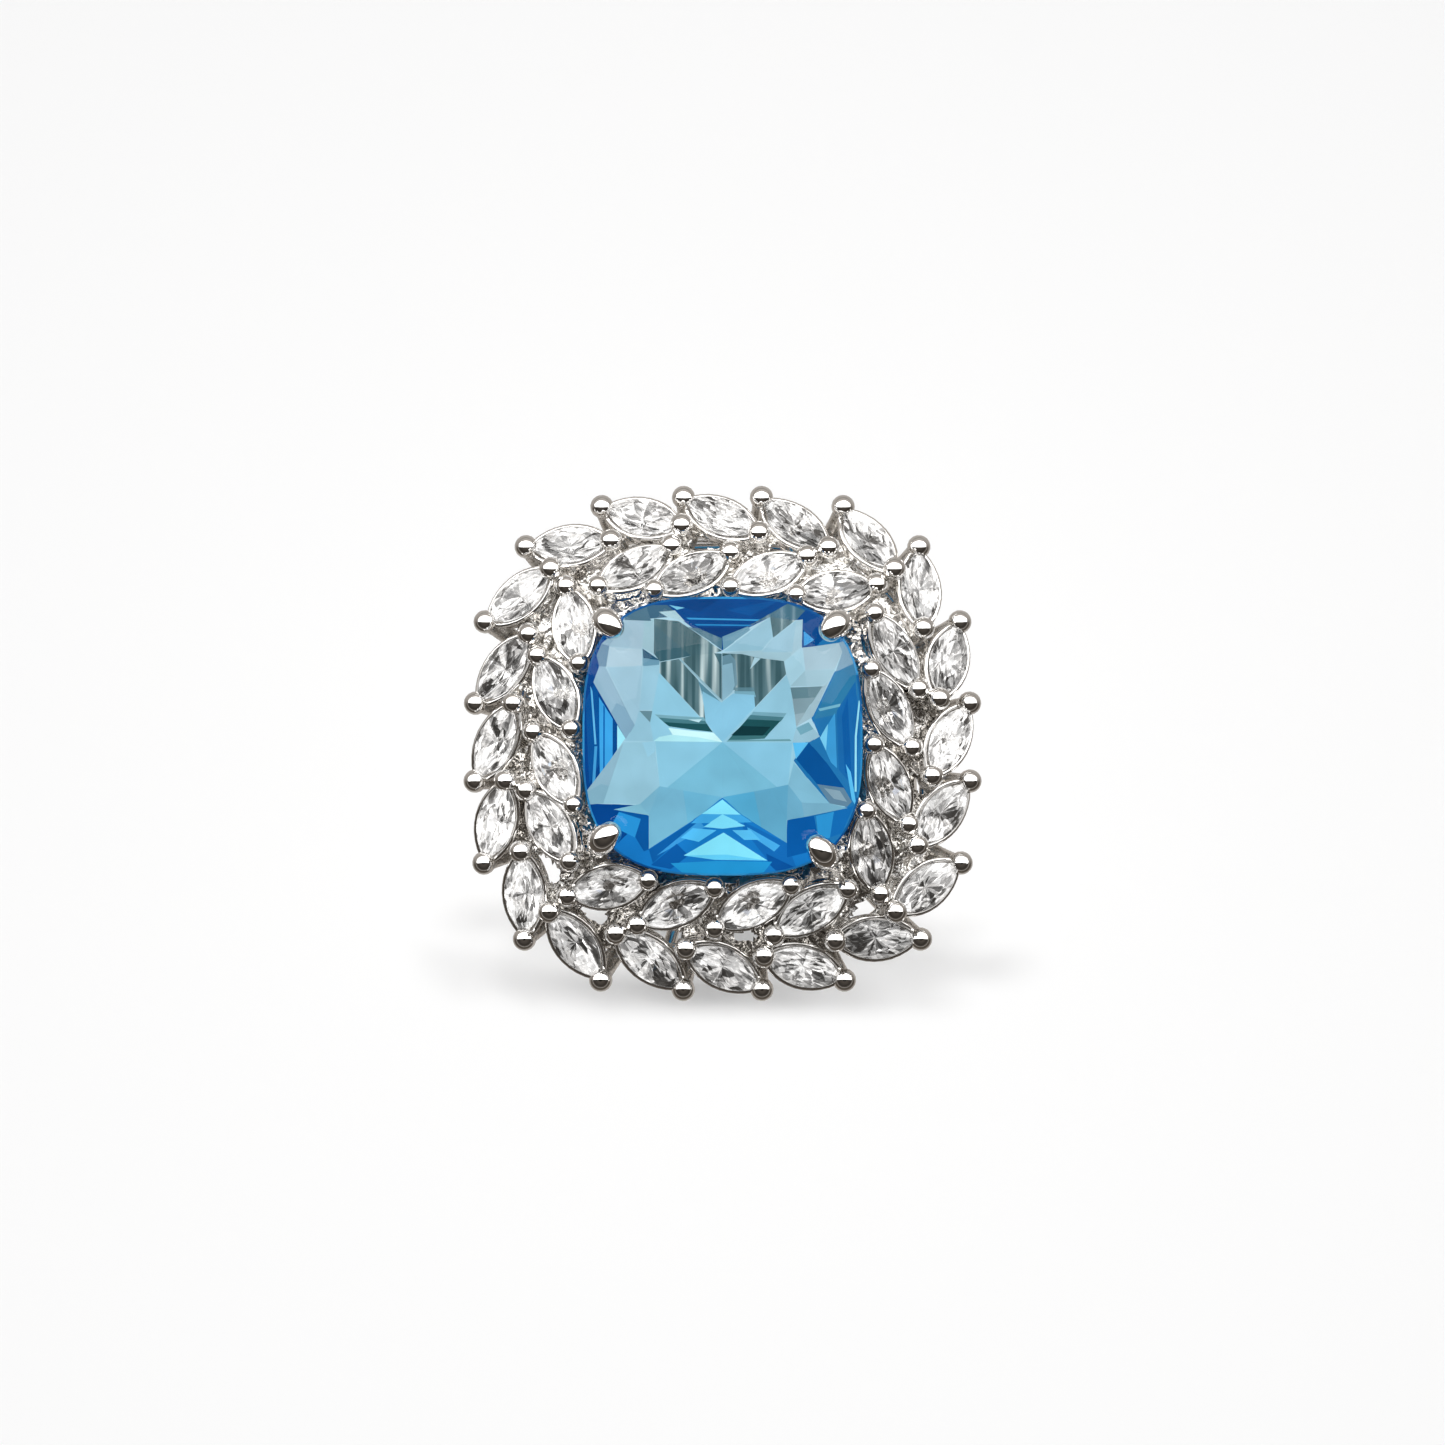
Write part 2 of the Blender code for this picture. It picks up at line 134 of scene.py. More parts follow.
# ------------------------------------------------------------------ materials
def new_mat(name):
    m = bpy.data.materials.new(name)
    m.use_nodes = True
    nt = m.node_tree
    return m, nt, nt.nodes["Principled BSDF"]


def link(nt, a, b):
    nt.links.new(a, b)


def node(nt, kind, **kw):
    n = nt.nodes.new(kind)
    for k, v in kw.items():
        if k in n.inputs:
            n.inputs[k].default_value = v
        else:
            setattr(n, k, v)
    return n


def metal(name, colour, dark, rough, rough_var, bump, bump_scale, depth=0.00005, detail=5):
    m, nt, b = new_mat(name)
    tc = node(nt, "ShaderNodeTexCoord")
    n1 = node(nt, "ShaderNodeTexNoise")
    n1.inputs["Scale"].default_value = bump_scale
    n1.inputs["Detail"].default_value = detail
    link(nt, tc.outputs["Object"], n1.inputs["Vector"])
    n2 = node(nt, "ShaderNodeTexNoise")
    n2.inputs["Scale"].default_value = bump_scale * 0.23
    n2.inputs["Detail"].default_value = 3
    link(nt, tc.outputs["Object"], n2.inputs["Vector"])
    ramp = node(nt, "ShaderNodeValToRGB")
    ramp.color_ramp.elements[0].position = 0.38
    ramp.color_ramp.elements[0].color = (*dark, 1)
    ramp.color_ramp.elements[1].position = 0.62
    ramp.color_ramp.elements[1].color = (*colour, 1)
    link(nt, n2.outputs["Fac"], ramp.inputs["Fac"])
    link(nt, ramp.outputs["Color"], b.inputs["Base Color"])
    mr = node(nt, "ShaderNodeMapRange")
    mr.inputs["From Min"].default_value = 0.3
    mr.inputs["From Max"].default_value = 0.7
    mr.inputs["To Min"].default_value = rough
    mr.inputs["To Max"].default_value = rough + rough_var
    link(nt, n1.outputs["Fac"], mr.inputs["Value"])
    link(nt, mr.outputs["Result"], b.inputs["Roughness"])
    b.inputs["Metallic"].default_value = 1
    bp = node(nt, "ShaderNodeBump")
    bp.inputs["Strength"].default_value = bump
    bp.inputs["Distance"].default_value = depth
    link(nt, n1.outputs["Fac"], bp.inputs["Height"])
    link(nt, bp.outputs["Normal"], b.inputs["Normal"])
    return m


POLISHED = metal("polished_rhodium", (0.88, 0.87, 0.855), (0.82, 0.805, 0.785), 0.02, 0.03, 0.03, 5200)
STEM = metal("stem_rhodium", (0.84, 0.825, 0.80), (0.60, 0.575, 0.54), 0.14, 0.22, 0.55, 3600)
CAST = metal("cast_rhodium", (0.88, 0.875, 0.86), (0.48, 0.46, 0.435), 0.08, 0.17, 0.75, 1350, 0.00046, 2.5)


def shell_material(name, colour, ior, coat_ior=None):
    """A polished crown, clear to shadow rays. With a coat, the ray isn't bent and
    only the coat reflects."""
    m, nt, b = new_mat(name)
    b.inputs["Base Color"].default_value = (*colour, 1)
    b.inputs["Roughness"].default_value = 0.0
    b.inputs["Transmission Weight"].default_value = 1.0
    b.inputs["IOR"].default_value = ior
    if coat_ior:
        b.inputs["Coat Weight"].default_value = 0.22
        b.inputs["Coat IOR"].default_value = coat_ior
        b.inputs["Coat Roughness"].default_value = 0.0
    lp = node(nt, "ShaderNodeLightPath")
    tr = node(nt, "ShaderNodeBsdfTransparent")
    mx = node(nt, "ShaderNodeMixShader")
    out = nt.nodes["Material Output"]
    link(nt, lp.outputs["Is Shadow Ray"], mx.inputs[0])
    link(nt, b.outputs[0], mx.inputs[1])
    link(nt, tr.outputs[0], mx.inputs[2])
    link(nt, mx.outputs[0], out.inputs["Surface"])
    return m


CLEAR_CROWN = shell_material("clear_stone_crown", (1.0, 1.0, 1.0), 1.9)
BLUE_CROWN = shell_material("blue_stone_crown", (0.97, 0.99, 1.0), 1.02, 1.62)


def math2(nt, op, a, b=None):
    n = node(nt, "ShaderNodeMath", operation=op)
    for i, v in enumerate((a, b)):
        if v is None:
            continue
        if isinstance(v, (int, float)):
            n.inputs[i].default_value = v
        else:
            link(nt, v, n.inputs[i])
    return n.outputs[0]


def clear_pavilion_painted_glints():
    """The back facets of a clear stone: part mirror, part painted light, each facet glowing with a painted brightness
    from dark to white in place of the light it gathers, with a painted fan of fine streaks that a marquise shows around
    its middle."""
    m, nt, b = new_mat("clear_stone_pavilion")
    at = node(nt, "ShaderNodeAttribute", attribute_name="facet")
    sd = node(nt, "ShaderNodeAttribute", attribute_name="seed")
    tc = node(nt, "ShaderNodeTexCoord")
    sp = node(nt, "ShaderNodeSeparateXYZ")
    link(nt, tc.outputs["Object"], sp.inputs[0])
    ang = math2(nt, "ARCTAN2", math2(nt, "MULTIPLY", sp.outputs["Y"], 1.5), sp.outputs["X"])
    rad = math2(nt, "POWER", math2(nt, "ADD", math2(nt, "POWER", math2(nt, "MULTIPLY", sp.outputs["X"], 500), 2),
                                   math2(nt, "POWER", math2(nt, "MULTIPLY", sp.outputs["Y"], 1000), 2)), 0.5)
    def combine(x, y, z):
        c = node(nt, "ShaderNodeCombineXYZ")
        for sock, v in zip(c.inputs, (x, y, z)):
            link(nt, v, sock)
        return c.outputs[0]

    def cells(vec, scale, amount):
        vo = node(nt, "ShaderNodeTexVoronoi")
        vo.inputs["Scale"].default_value = scale
        link(nt, vec, vo.inputs["Vector"])
        sc = node(nt, "ShaderNodeSeparateColor")
        link(nt, vo.outputs["Color"], sc.inputs[0])
        return math2(nt, "MULTIPLY", math2(nt, "SUBTRACT", sc.outputs[0], 0.5), amount)

    away = math2(nt, "MULTIPLY", sd.outputs["Fac"], 60.0)
    fan = combine(math2(nt, "MULTIPLY", ang, 2.6), math2(nt, "MULTIPLY", rad, 1.5), away)
    flat = combine(math2(nt, "MULTIPLY", sp.outputs["X"], 1500), math2(nt, "MULTIPLY", sp.outputs["Y"], 3300), away)
    ns = node(nt, "ShaderNodeTexNoise")
    ns.inputs["Scale"].default_value = 2.4
    ns.inputs["Detail"].default_value = 1.0
    link(nt, fan, ns.inputs["Vector"])
    painted_streak = math2(nt, "MULTIPLY", math2(nt, "SUBTRACT", ns.outputs["Fac"], 0.5), 0.45)
    painted_shard = math2(nt, "ADD", cells(fan, 1.25, 0.72), cells(flat, 1.15, 0.80))
    fac = math2(nt, "ADD", math2(nt, "MULTIPLY", at.outputs["Fac"], 0.50),
                math2(nt, "ADD", math2(nt, "ADD", painted_streak, painted_shard), 0.27))
    ramp = node(nt, "ShaderNodeValToRGB")
    ramp.color_ramp.interpolation = "LINEAR"
    e = ramp.color_ramp.elements
    e[0].position, e[0].color = 0.0, (0.040, 0.038, 0.036, 1)
    e[1].position, e[1].color = 1.0, (1.0, 1.0, 1.0, 1)
    for pos, c in ((0.18, 0.14), (0.36, 0.36), (0.52, 0.60), (0.70, 0.93)):
        q = e.new(pos)
        q.color = (c, c * 0.99, c * 0.98, 1)
    link(nt, fac, ramp.inputs["Fac"])
    link(nt, ramp.outputs["Color"], b.inputs["Base Color"])
    link(nt, ramp.outputs["Color"], b.inputs["Emission Color"])
    b.inputs["Emission Strength"].default_value = 0.40
    b.inputs["Metallic"].default_value = 0.82
    b.inputs["Roughness"].default_value = 0.015
    return m


CLEAR_PAVILION_PAINTED_GLINTS = clear_pavilion_painted_glints()


def blue_pavilion():
    """Outside of the centre stone's pavilion, seen between the prongs."""
    m, nt, b = new_mat("blue_stone_pavilion")
    at = node(nt, "ShaderNodeAttribute", attribute_name="facet")
    ramp = node(nt, "ShaderNodeValToRGB")
    e = ramp.color_ramp.elements
    e[0].position, e[0].color = 0.0, (0.004, 0.09, 0.32, 1)
    e[1].position, e[1].color = 1.0, (0.05, 0.42, 0.78, 1)
    link(nt, at.outputs["Fac"], ramp.inputs["Fac"])
    link(nt, ramp.outputs["Color"], b.inputs["Base Color"])
    b.inputs["Metallic"].default_value = 0.35
    b.inputs["Roughness"].default_value = 0.03
    b.inputs["Coat Weight"].default_value = 0.8
    b.inputs["Coat Roughness"].default_value = 0.01
    return m


BLUE_PAVILION = blue_pavilion()


def blue_painted_facets():
    """What is seen through the centre stone's crown, as painted light: each facet holds a painted tint that stands for
    the reflections, refraction and shade there, with painted soft bands where a facet mirrors the gallery behind it;
    the tint partly glows."""
    m, nt, b = new_mat("blue_stone_facets")
    tint = node(nt, "ShaderNodeAttribute", attribute_name="tint")
    band = node(nt, "ShaderNodeAttribute", attribute_name="band")
    tc = node(nt, "ShaderNodeTexCoord")
    # painted reflection: vertical bands of dark gallery wires mirrored in the upper facets
    mp = node(nt, "ShaderNodeMapping")
    mp.inputs["Scale"].default_value = (2300, 90, 0)
    link(nt, tc.outputs["Object"], mp.inputs["Vector"])
    ns = node(nt, "ShaderNodeTexNoise")
    ns.inputs["Scale"].default_value = 1.0
    ns.inputs["Detail"].default_value = 1.5
    link(nt, mp.outputs["Vector"], ns.inputs["Vector"])
    rp = node(nt, "ShaderNodeValToRGB")
    e = rp.color_ramp.elements
    e[0].position, e[0].color = 0.44, (0.050, 0.115, 0.135, 1)
    e[1].position, e[1].color = 0.68, (0.62, 0.76, 0.77, 1)
    mid = e.new(0.55)
    mid.color = (0.12, 0.22, 0.25, 1)
    link(nt, ns.outputs["Fac"], rp.inputs["Fac"])
    mix = node(nt, "ShaderNodeMix", data_type="RGBA")
    link(nt, band.outputs["Fac"], mix.inputs["Factor"])
    link(nt, tint.outputs["Color"], mix.inputs[6])
    link(nt, rp.outputs["Color"], mix.inputs[7])
    # a slow cloud so that no facet is one flat colour
    cl = node(nt, "ShaderNodeTexNoise")
    cl.inputs["Scale"].default_value = 420
    cl.inputs["Detail"].default_value = 2
    link(nt, tc.outputs["Object"], cl.inputs["Vector"])
    mr = node(nt, "ShaderNodeMapRange")
    mr.inputs["From Min"].default_value = 0.3
    mr.inputs["From Max"].default_value = 0.7
    mr.inputs["To Min"].default_value = 0.90
    mr.inputs["To Max"].default_value = 1.08
    link(nt, cl.outputs["Fac"], mr.inputs["Value"])
    mul = node(nt, "ShaderNodeVectorMath", operation="SCALE")
    link(nt, mix.outputs[2], mul.inputs[0])
    link(nt, mr.outputs["Result"], mul.inputs["Scale"])
    lit = node(nt, "ShaderNodeVectorMath", operation="SCALE")
    lit.inputs["Scale"].default_value = 0.34
    link(nt, mul.outputs[0], lit.inputs[0])
    link(nt, lit.outputs[0], b.inputs["Base Color"])
    # painted light: the tint also glows, so the facets shine though they are no lamp
    link(nt, mul.outputs[0], b.inputs["Emission Color"])
    b.inputs["Emission Strength"].default_value = 0.46
    b.inputs["Roughness"].default_value = 0.05
    b.inputs["Specular IOR Level"].default_value = 0.0
    return m


BLUE_PAINTED_FACETS = blue_painted_facets()


# ------------------------------------------------------------- mesh collector
class Build:
    """Collects closed shapes (mm) into one object."""

    def __init__(self):
        self.v, self.f, self.m, self.s = [], [], [], []

    def add(self, verts, faces, mat=0, smooth=True):
        k = len(self.v)
        self.v += [tuple(Vector(p) * MM) for p in verts]
        self.f += [tuple(i + k for i in f) for f in faces]
        self.m += [mat] * len(faces)
        self.s += [smooth] * len(faces)

    def done(self, name, mats, sharp=None):
        me = bpy.data.meshes.new(name)
        me.from_pydata(self.v, [], self.f)
        me.polygons.foreach_set("material_index", self.m)
        me.polygons.foreach_set("use_smooth", self.s)
        for m in mats:
            me.materials.append(m)
        me.validate()
        if sharp:
            me.set_sharp_from_angle(angle=radians(sharp))
        ob = bpy.data.objects.new(name, me)
        bpy.context.scene.collection.objects.link(ob)
        return ob


def sweep(b, pts, radii, seg=16, closed=False, mat=0, squash=1.0, up=None, split=None):
    """A round section carried along the points; ends are rounded by the radii."""
    pts = [Vector(p) for p in pts]
    n = len(pts)
    tang = []
    for i in range(n):
        a = pts[(i - 1) % n] if (closed or i > 0) else pts[i]
        c = pts[(i + 1) % n] if (closed or i < n - 1) else pts[i]
        t = c - a
        tang.append(t.normalized() if t.length > 1e-9 else Vector((0, 0, 1)))
    ref = up.copy() if up else (Vector((0, 0, 1)) if abs(tang[0].z) < 0.9 else Vector((0, 1, 0)))
    x = (ref - ref.dot(tang[0]) * tang[0]).normalized()
    verts, faces = [], []
    for i in range(n):
        t = tang[i]
        if closed and up is None:
            x = (Vector((0, 0, 1)) - t.z * t).normalized()
        else:
            x = (x - x.dot(t) * t).normalized()
        y = t.cross(x)
        for j in range(seg):
            a = 2 * pi * j / seg
            verts.append(pts[i] + radii[i] * (cos(a) * x + sin(a) * y * squash))
    m = n if closed else n - 1
    for i in range(m):
        for j in range(seg):
            a, c = i * seg + j, i * seg + (j + 1) % seg
            d, e = ((i + 1) % n) * seg + (j + 1) % seg, ((i + 1) % n) * seg + j
            faces.append((a, c, d, e))
    if not closed:
        faces.append(tuple(range(seg - 1, -1, -1)))
        faces.append(tuple((n - 1) * seg + j for j in range(seg)))
    b.add(verts, faces, mat)
    if split:
        k = len(b.m) - len(faces)
        for i in range(split * seg, m * seg):
            b.m[k + i] = mat + 1
        b.m[-1] = mat + 1


def bezier(p0, p1, p2, p3, n):
    out = []
    for i in range(n + 1):
        t = i / n
        out.append((1 - t) ** 3 * p0 + 3 * (1 - t) ** 2 * t * p1 + 3 * (1 - t) * t * t * p2 + t ** 3 * p3)
    return out


def prong(b, centre, axis, ball_r, neck, foot, foot_dir, foot_r, reach, seg=18):
    """A ball on a stem: one surface from the top of the ball to the foot."""
    pts, rad = [], []
    stop = pi - asin(min(0.98, neck / ball_r))
    steps = 9
    for i in range(steps + 1):
        a = stop * i / steps
        pts.append(centre + axis * ball_r * cos(a))
        rad.append(max(ball_r * sin(a), 0.012))
    start = pts[-1]
    curve = bezier(start, start - axis * reach, foot + foot_dir * reach, foot, 8)
    for i, p in enumerate(curve[1:], 1):
        t = i / 8
        pts.append(p)
        rad.append(neck + (foot_r - neck) * t)
    sweep(b, pts, rad, seg, split=steps)


def marquise_outline(length, width, n):
    r = (length * length / 4 + width * width / 4) / width
    h = r - width / 2
    a = asin(length / 2 / r)
    pts = [(r * sin(-a + 2 * a * i / n), r * cos(-a + 2 * a * i / n) - h) for i in range(n)]
    return pts + [(-x, -y) for x, y in pts]


def ring_pts(spec, n):
    half, power, z, _ = spec
    return [polar(360 * i / n, squircle(half, power, 360 * i / n), z) for i in range(n)]


# --------------------------------------------------------------- cut stones
def blank(points, low, high):
    bm = bmesh.new()
    lo = [bm.verts.new((x * MM, y * MM, low * MM)) for x, y in points]
    hi = [bm.verts.new((x * MM, y * MM, high * MM)) for x, y in points]
    n = len(points)
    bm.faces.new(hi)
    bm.faces.new(list(reversed(lo)))
    for i in range(n):
        bm.faces.new((lo[i], lo[(i + 1) % n], hi[(i + 1) % n], hi[i]))
    bmesh.ops.recalc_face_normals(bm, faces=bm.faces)
    return bm


def cut(bm, point, normal):
    geom = list(bm.verts) + list(bm.edges) + list(bm.faces)
    res = bmesh.ops.bisect_plane(bm, geom=geom, dist=1e-8, plane_co=point, plane_no=normal,
                                 clear_outer=True, clear_inner=False)
    edges = [e for e in res["geom_cut"] if isinstance(e, bmesh.types.BMEdge)]
    if edges:
        bmesh.ops.edgenet_fill(bm, edges=edges)


def cone_cut(bm, p, tangent, apex):
    """The plane through a girdle point, along the outline there, and through a point
    on the stone's axis: one facet of a brilliant cut."""
    p, a = Vector(p), Vector(apex)
    n = Vector(tangent).cross(a - p)
    out = Vector((p.x, p.y, 0))
    if n.dot(out) < 0:
        n = -n
    cut(bm, p * MM, n.normalized())


def outline_fn_marquise(phi):
    """Point and tangent on the marquise outline; phi 0 is a tip."""
    r = (STONE_L ** 2 / 4 + STONE_W ** 2 / 4) / STONE_W
    h = r - STONE_W / 2
    phi = phi % 360
    x = STONE_L / 2 * cos(radians(phi))
    sgn = 1 if phi < 180 else -1
    y = (sqrt(max(r * r - x * x, 0)) - h) * sgn
    if phi % 180 < 1e-6:
        return Vector((x, 0, 0)), Vector((0, 1, 0))
    t = Vector((-(y * sgn + h) * sgn, x, 0)) if sgn > 0 else Vector(((-y + h), x, 0))
    # tangent of a circle centred at (0, -h * sgn)
    t = Vector((-(y + h * sgn), x, 0))
    return Vector((x, y, 0)), t.normalized()


def outline_fn_cushion(phi):
    r = squircle(GIRDLE_HALF, GIRDLE_POW, phi)
    d = 0.05
    r1, r2 = squircle(GIRDLE_HALF, GIRDLE_POW, phi - d), squircle(GIRDLE_HALF, GIRDLE_POW, phi + d)
    p = Vector((r * cos(radians(phi)), r * sin(radians(phi)), 0))
    a = Vector((r1 * cos(radians(phi - d)), r1 * sin(radians(phi - d)), 0))
    c = Vector((r2 * cos(radians(phi + d)), r2 * sin(radians(phi + d)), 0))
    return p, (c - a).normalized()


def brilliant(name, fn, outline, table, crown_apex, pav_apex, half_extra, girdle, mats, seed,
              star=True, step=22.5):
    bm = blank(outline, pav_apex * 1.02, table)
    up = Vector((0, 0, girdle))
    k = int(360 / step)
    for i in range(k):
        phi = i * step
        p, t = fn(phi)
        if i % 2 == 0:
            cone_cut(bm, p + up, t, (0, 0, crown_apex))
            cone_cut(bm, p - up, t, (0, 0, pav_apex))
        else:
            for d in (-step / 2 * 0.98, step / 2 * 0.98):
                p2, t2 = fn(phi + d)
                cone_cut(bm, p2 + up, t2, (0, 0, crown_apex * (1 + half_extra)))
                cone_cut(bm, p2 - up, t2, (0, 0, pav_apex * (1 + half_extra)))
            if star:
                q = Vector((p.x * 0.70, p.y * 0.70, girdle + (crown_apex - girdle) * 0.285))
                cone_cut(bm, q, t, (0, 0, crown_apex * 0.86))
    bmesh.ops.remove_doubles(bm, verts=bm.verts, dist=0.002 * MM)
    bmesh.ops.dissolve_limit(bm, angle_limit=radians(0.6), verts=bm.verts, edges=bm.edges)
    bmesh.ops.recalc_face_normals(bm, faces=bm.faces)
    me = bpy.data.meshes.new(name)
    rng = random.Random(seed)
    for f in bm.faces:
        f.material_index = 1 if f.normal.z < -0.2 else 0
        f.smooth = False
    bm.to_mesh(me)
    bm.free()
    me.attributes.new("facet", "FLOAT", "FACE")
    me.attributes.new("seed", "FLOAT", "FACE")
    me.attributes["facet"].data.foreach_set("value", [rng.random() for _ in me.polygons])
    for m in mats:
        me.materials.append(m)
    return me


marquise_mesh = brilliant("marquise_brilliant", outline_fn_marquise,
                          marquise_outline(STONE_L, STONE_W, 18), 0.38, 0.86, -0.97, 0.26, 0.04,
                          (CLEAR_CROWN, CLEAR_PAVILION_PAINTED_GLINTS), 3, step=18)

# the marquise stones, one per CAD node
for s in outer_seats + inner_seats:
    me = marquise_mesh.copy()
    rng = random.Random(s.name)
    # painted light: stones higher on the head get brighter glints, the outer row slightly darker ones
    painted_light_bias = 0.03 * (s.centre.y / 12) - 0.05 - (0.025 if s in outer_seats else 0)
    me.attributes["facet"].data.foreach_set("value", [rng.random() + painted_light_bias for _ in me.polygons])
    me.attributes["seed"].data.foreach_set("value", [rng.random()] * len(me.polygons))
    ob = bpy.data.objects.new(s.name + "_cut", me)
    bpy.context.scene.collection.objects.link(ob)
    ob.matrix_world = s.matrix()
    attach(ob, "root")
    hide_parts(s.name)

# ------------------------------------------------------------ centre stone
cushion_ring = []
for i in range(96):
    r = squircle(GIRDLE_HALF, GIRDLE_POW, 360 * (i + 0.5) / 96)
    a = radians(360 * (i + 0.5) / 96)
    cushion_ring.append((r * cos(a), r * sin(a)))
cushion = brilliant("centre_stone_body", outline_fn_cushion, cushion_ring, 1.75, 4.9, -5.75, 0.16,
                    0.10, (BLUE_CROWN, BLUE_PAVILION), 5)
body = bpy.data.objects.new("centre_stone_body", cushion)
bpy.context.scene.collection.objects.link(body)
body.location = (0, 0, Z_GIRDLE * MM)
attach(body, "root")
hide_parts("centre_stone")


def rgb(r, g, b):
    """Screen colour to linear."""
    return tuple(((c / 255) / 12.92 if c <= 10 else (((c / 255) + 0.055) / 1.055) ** 2.4)
                 for c in (r, g, b))
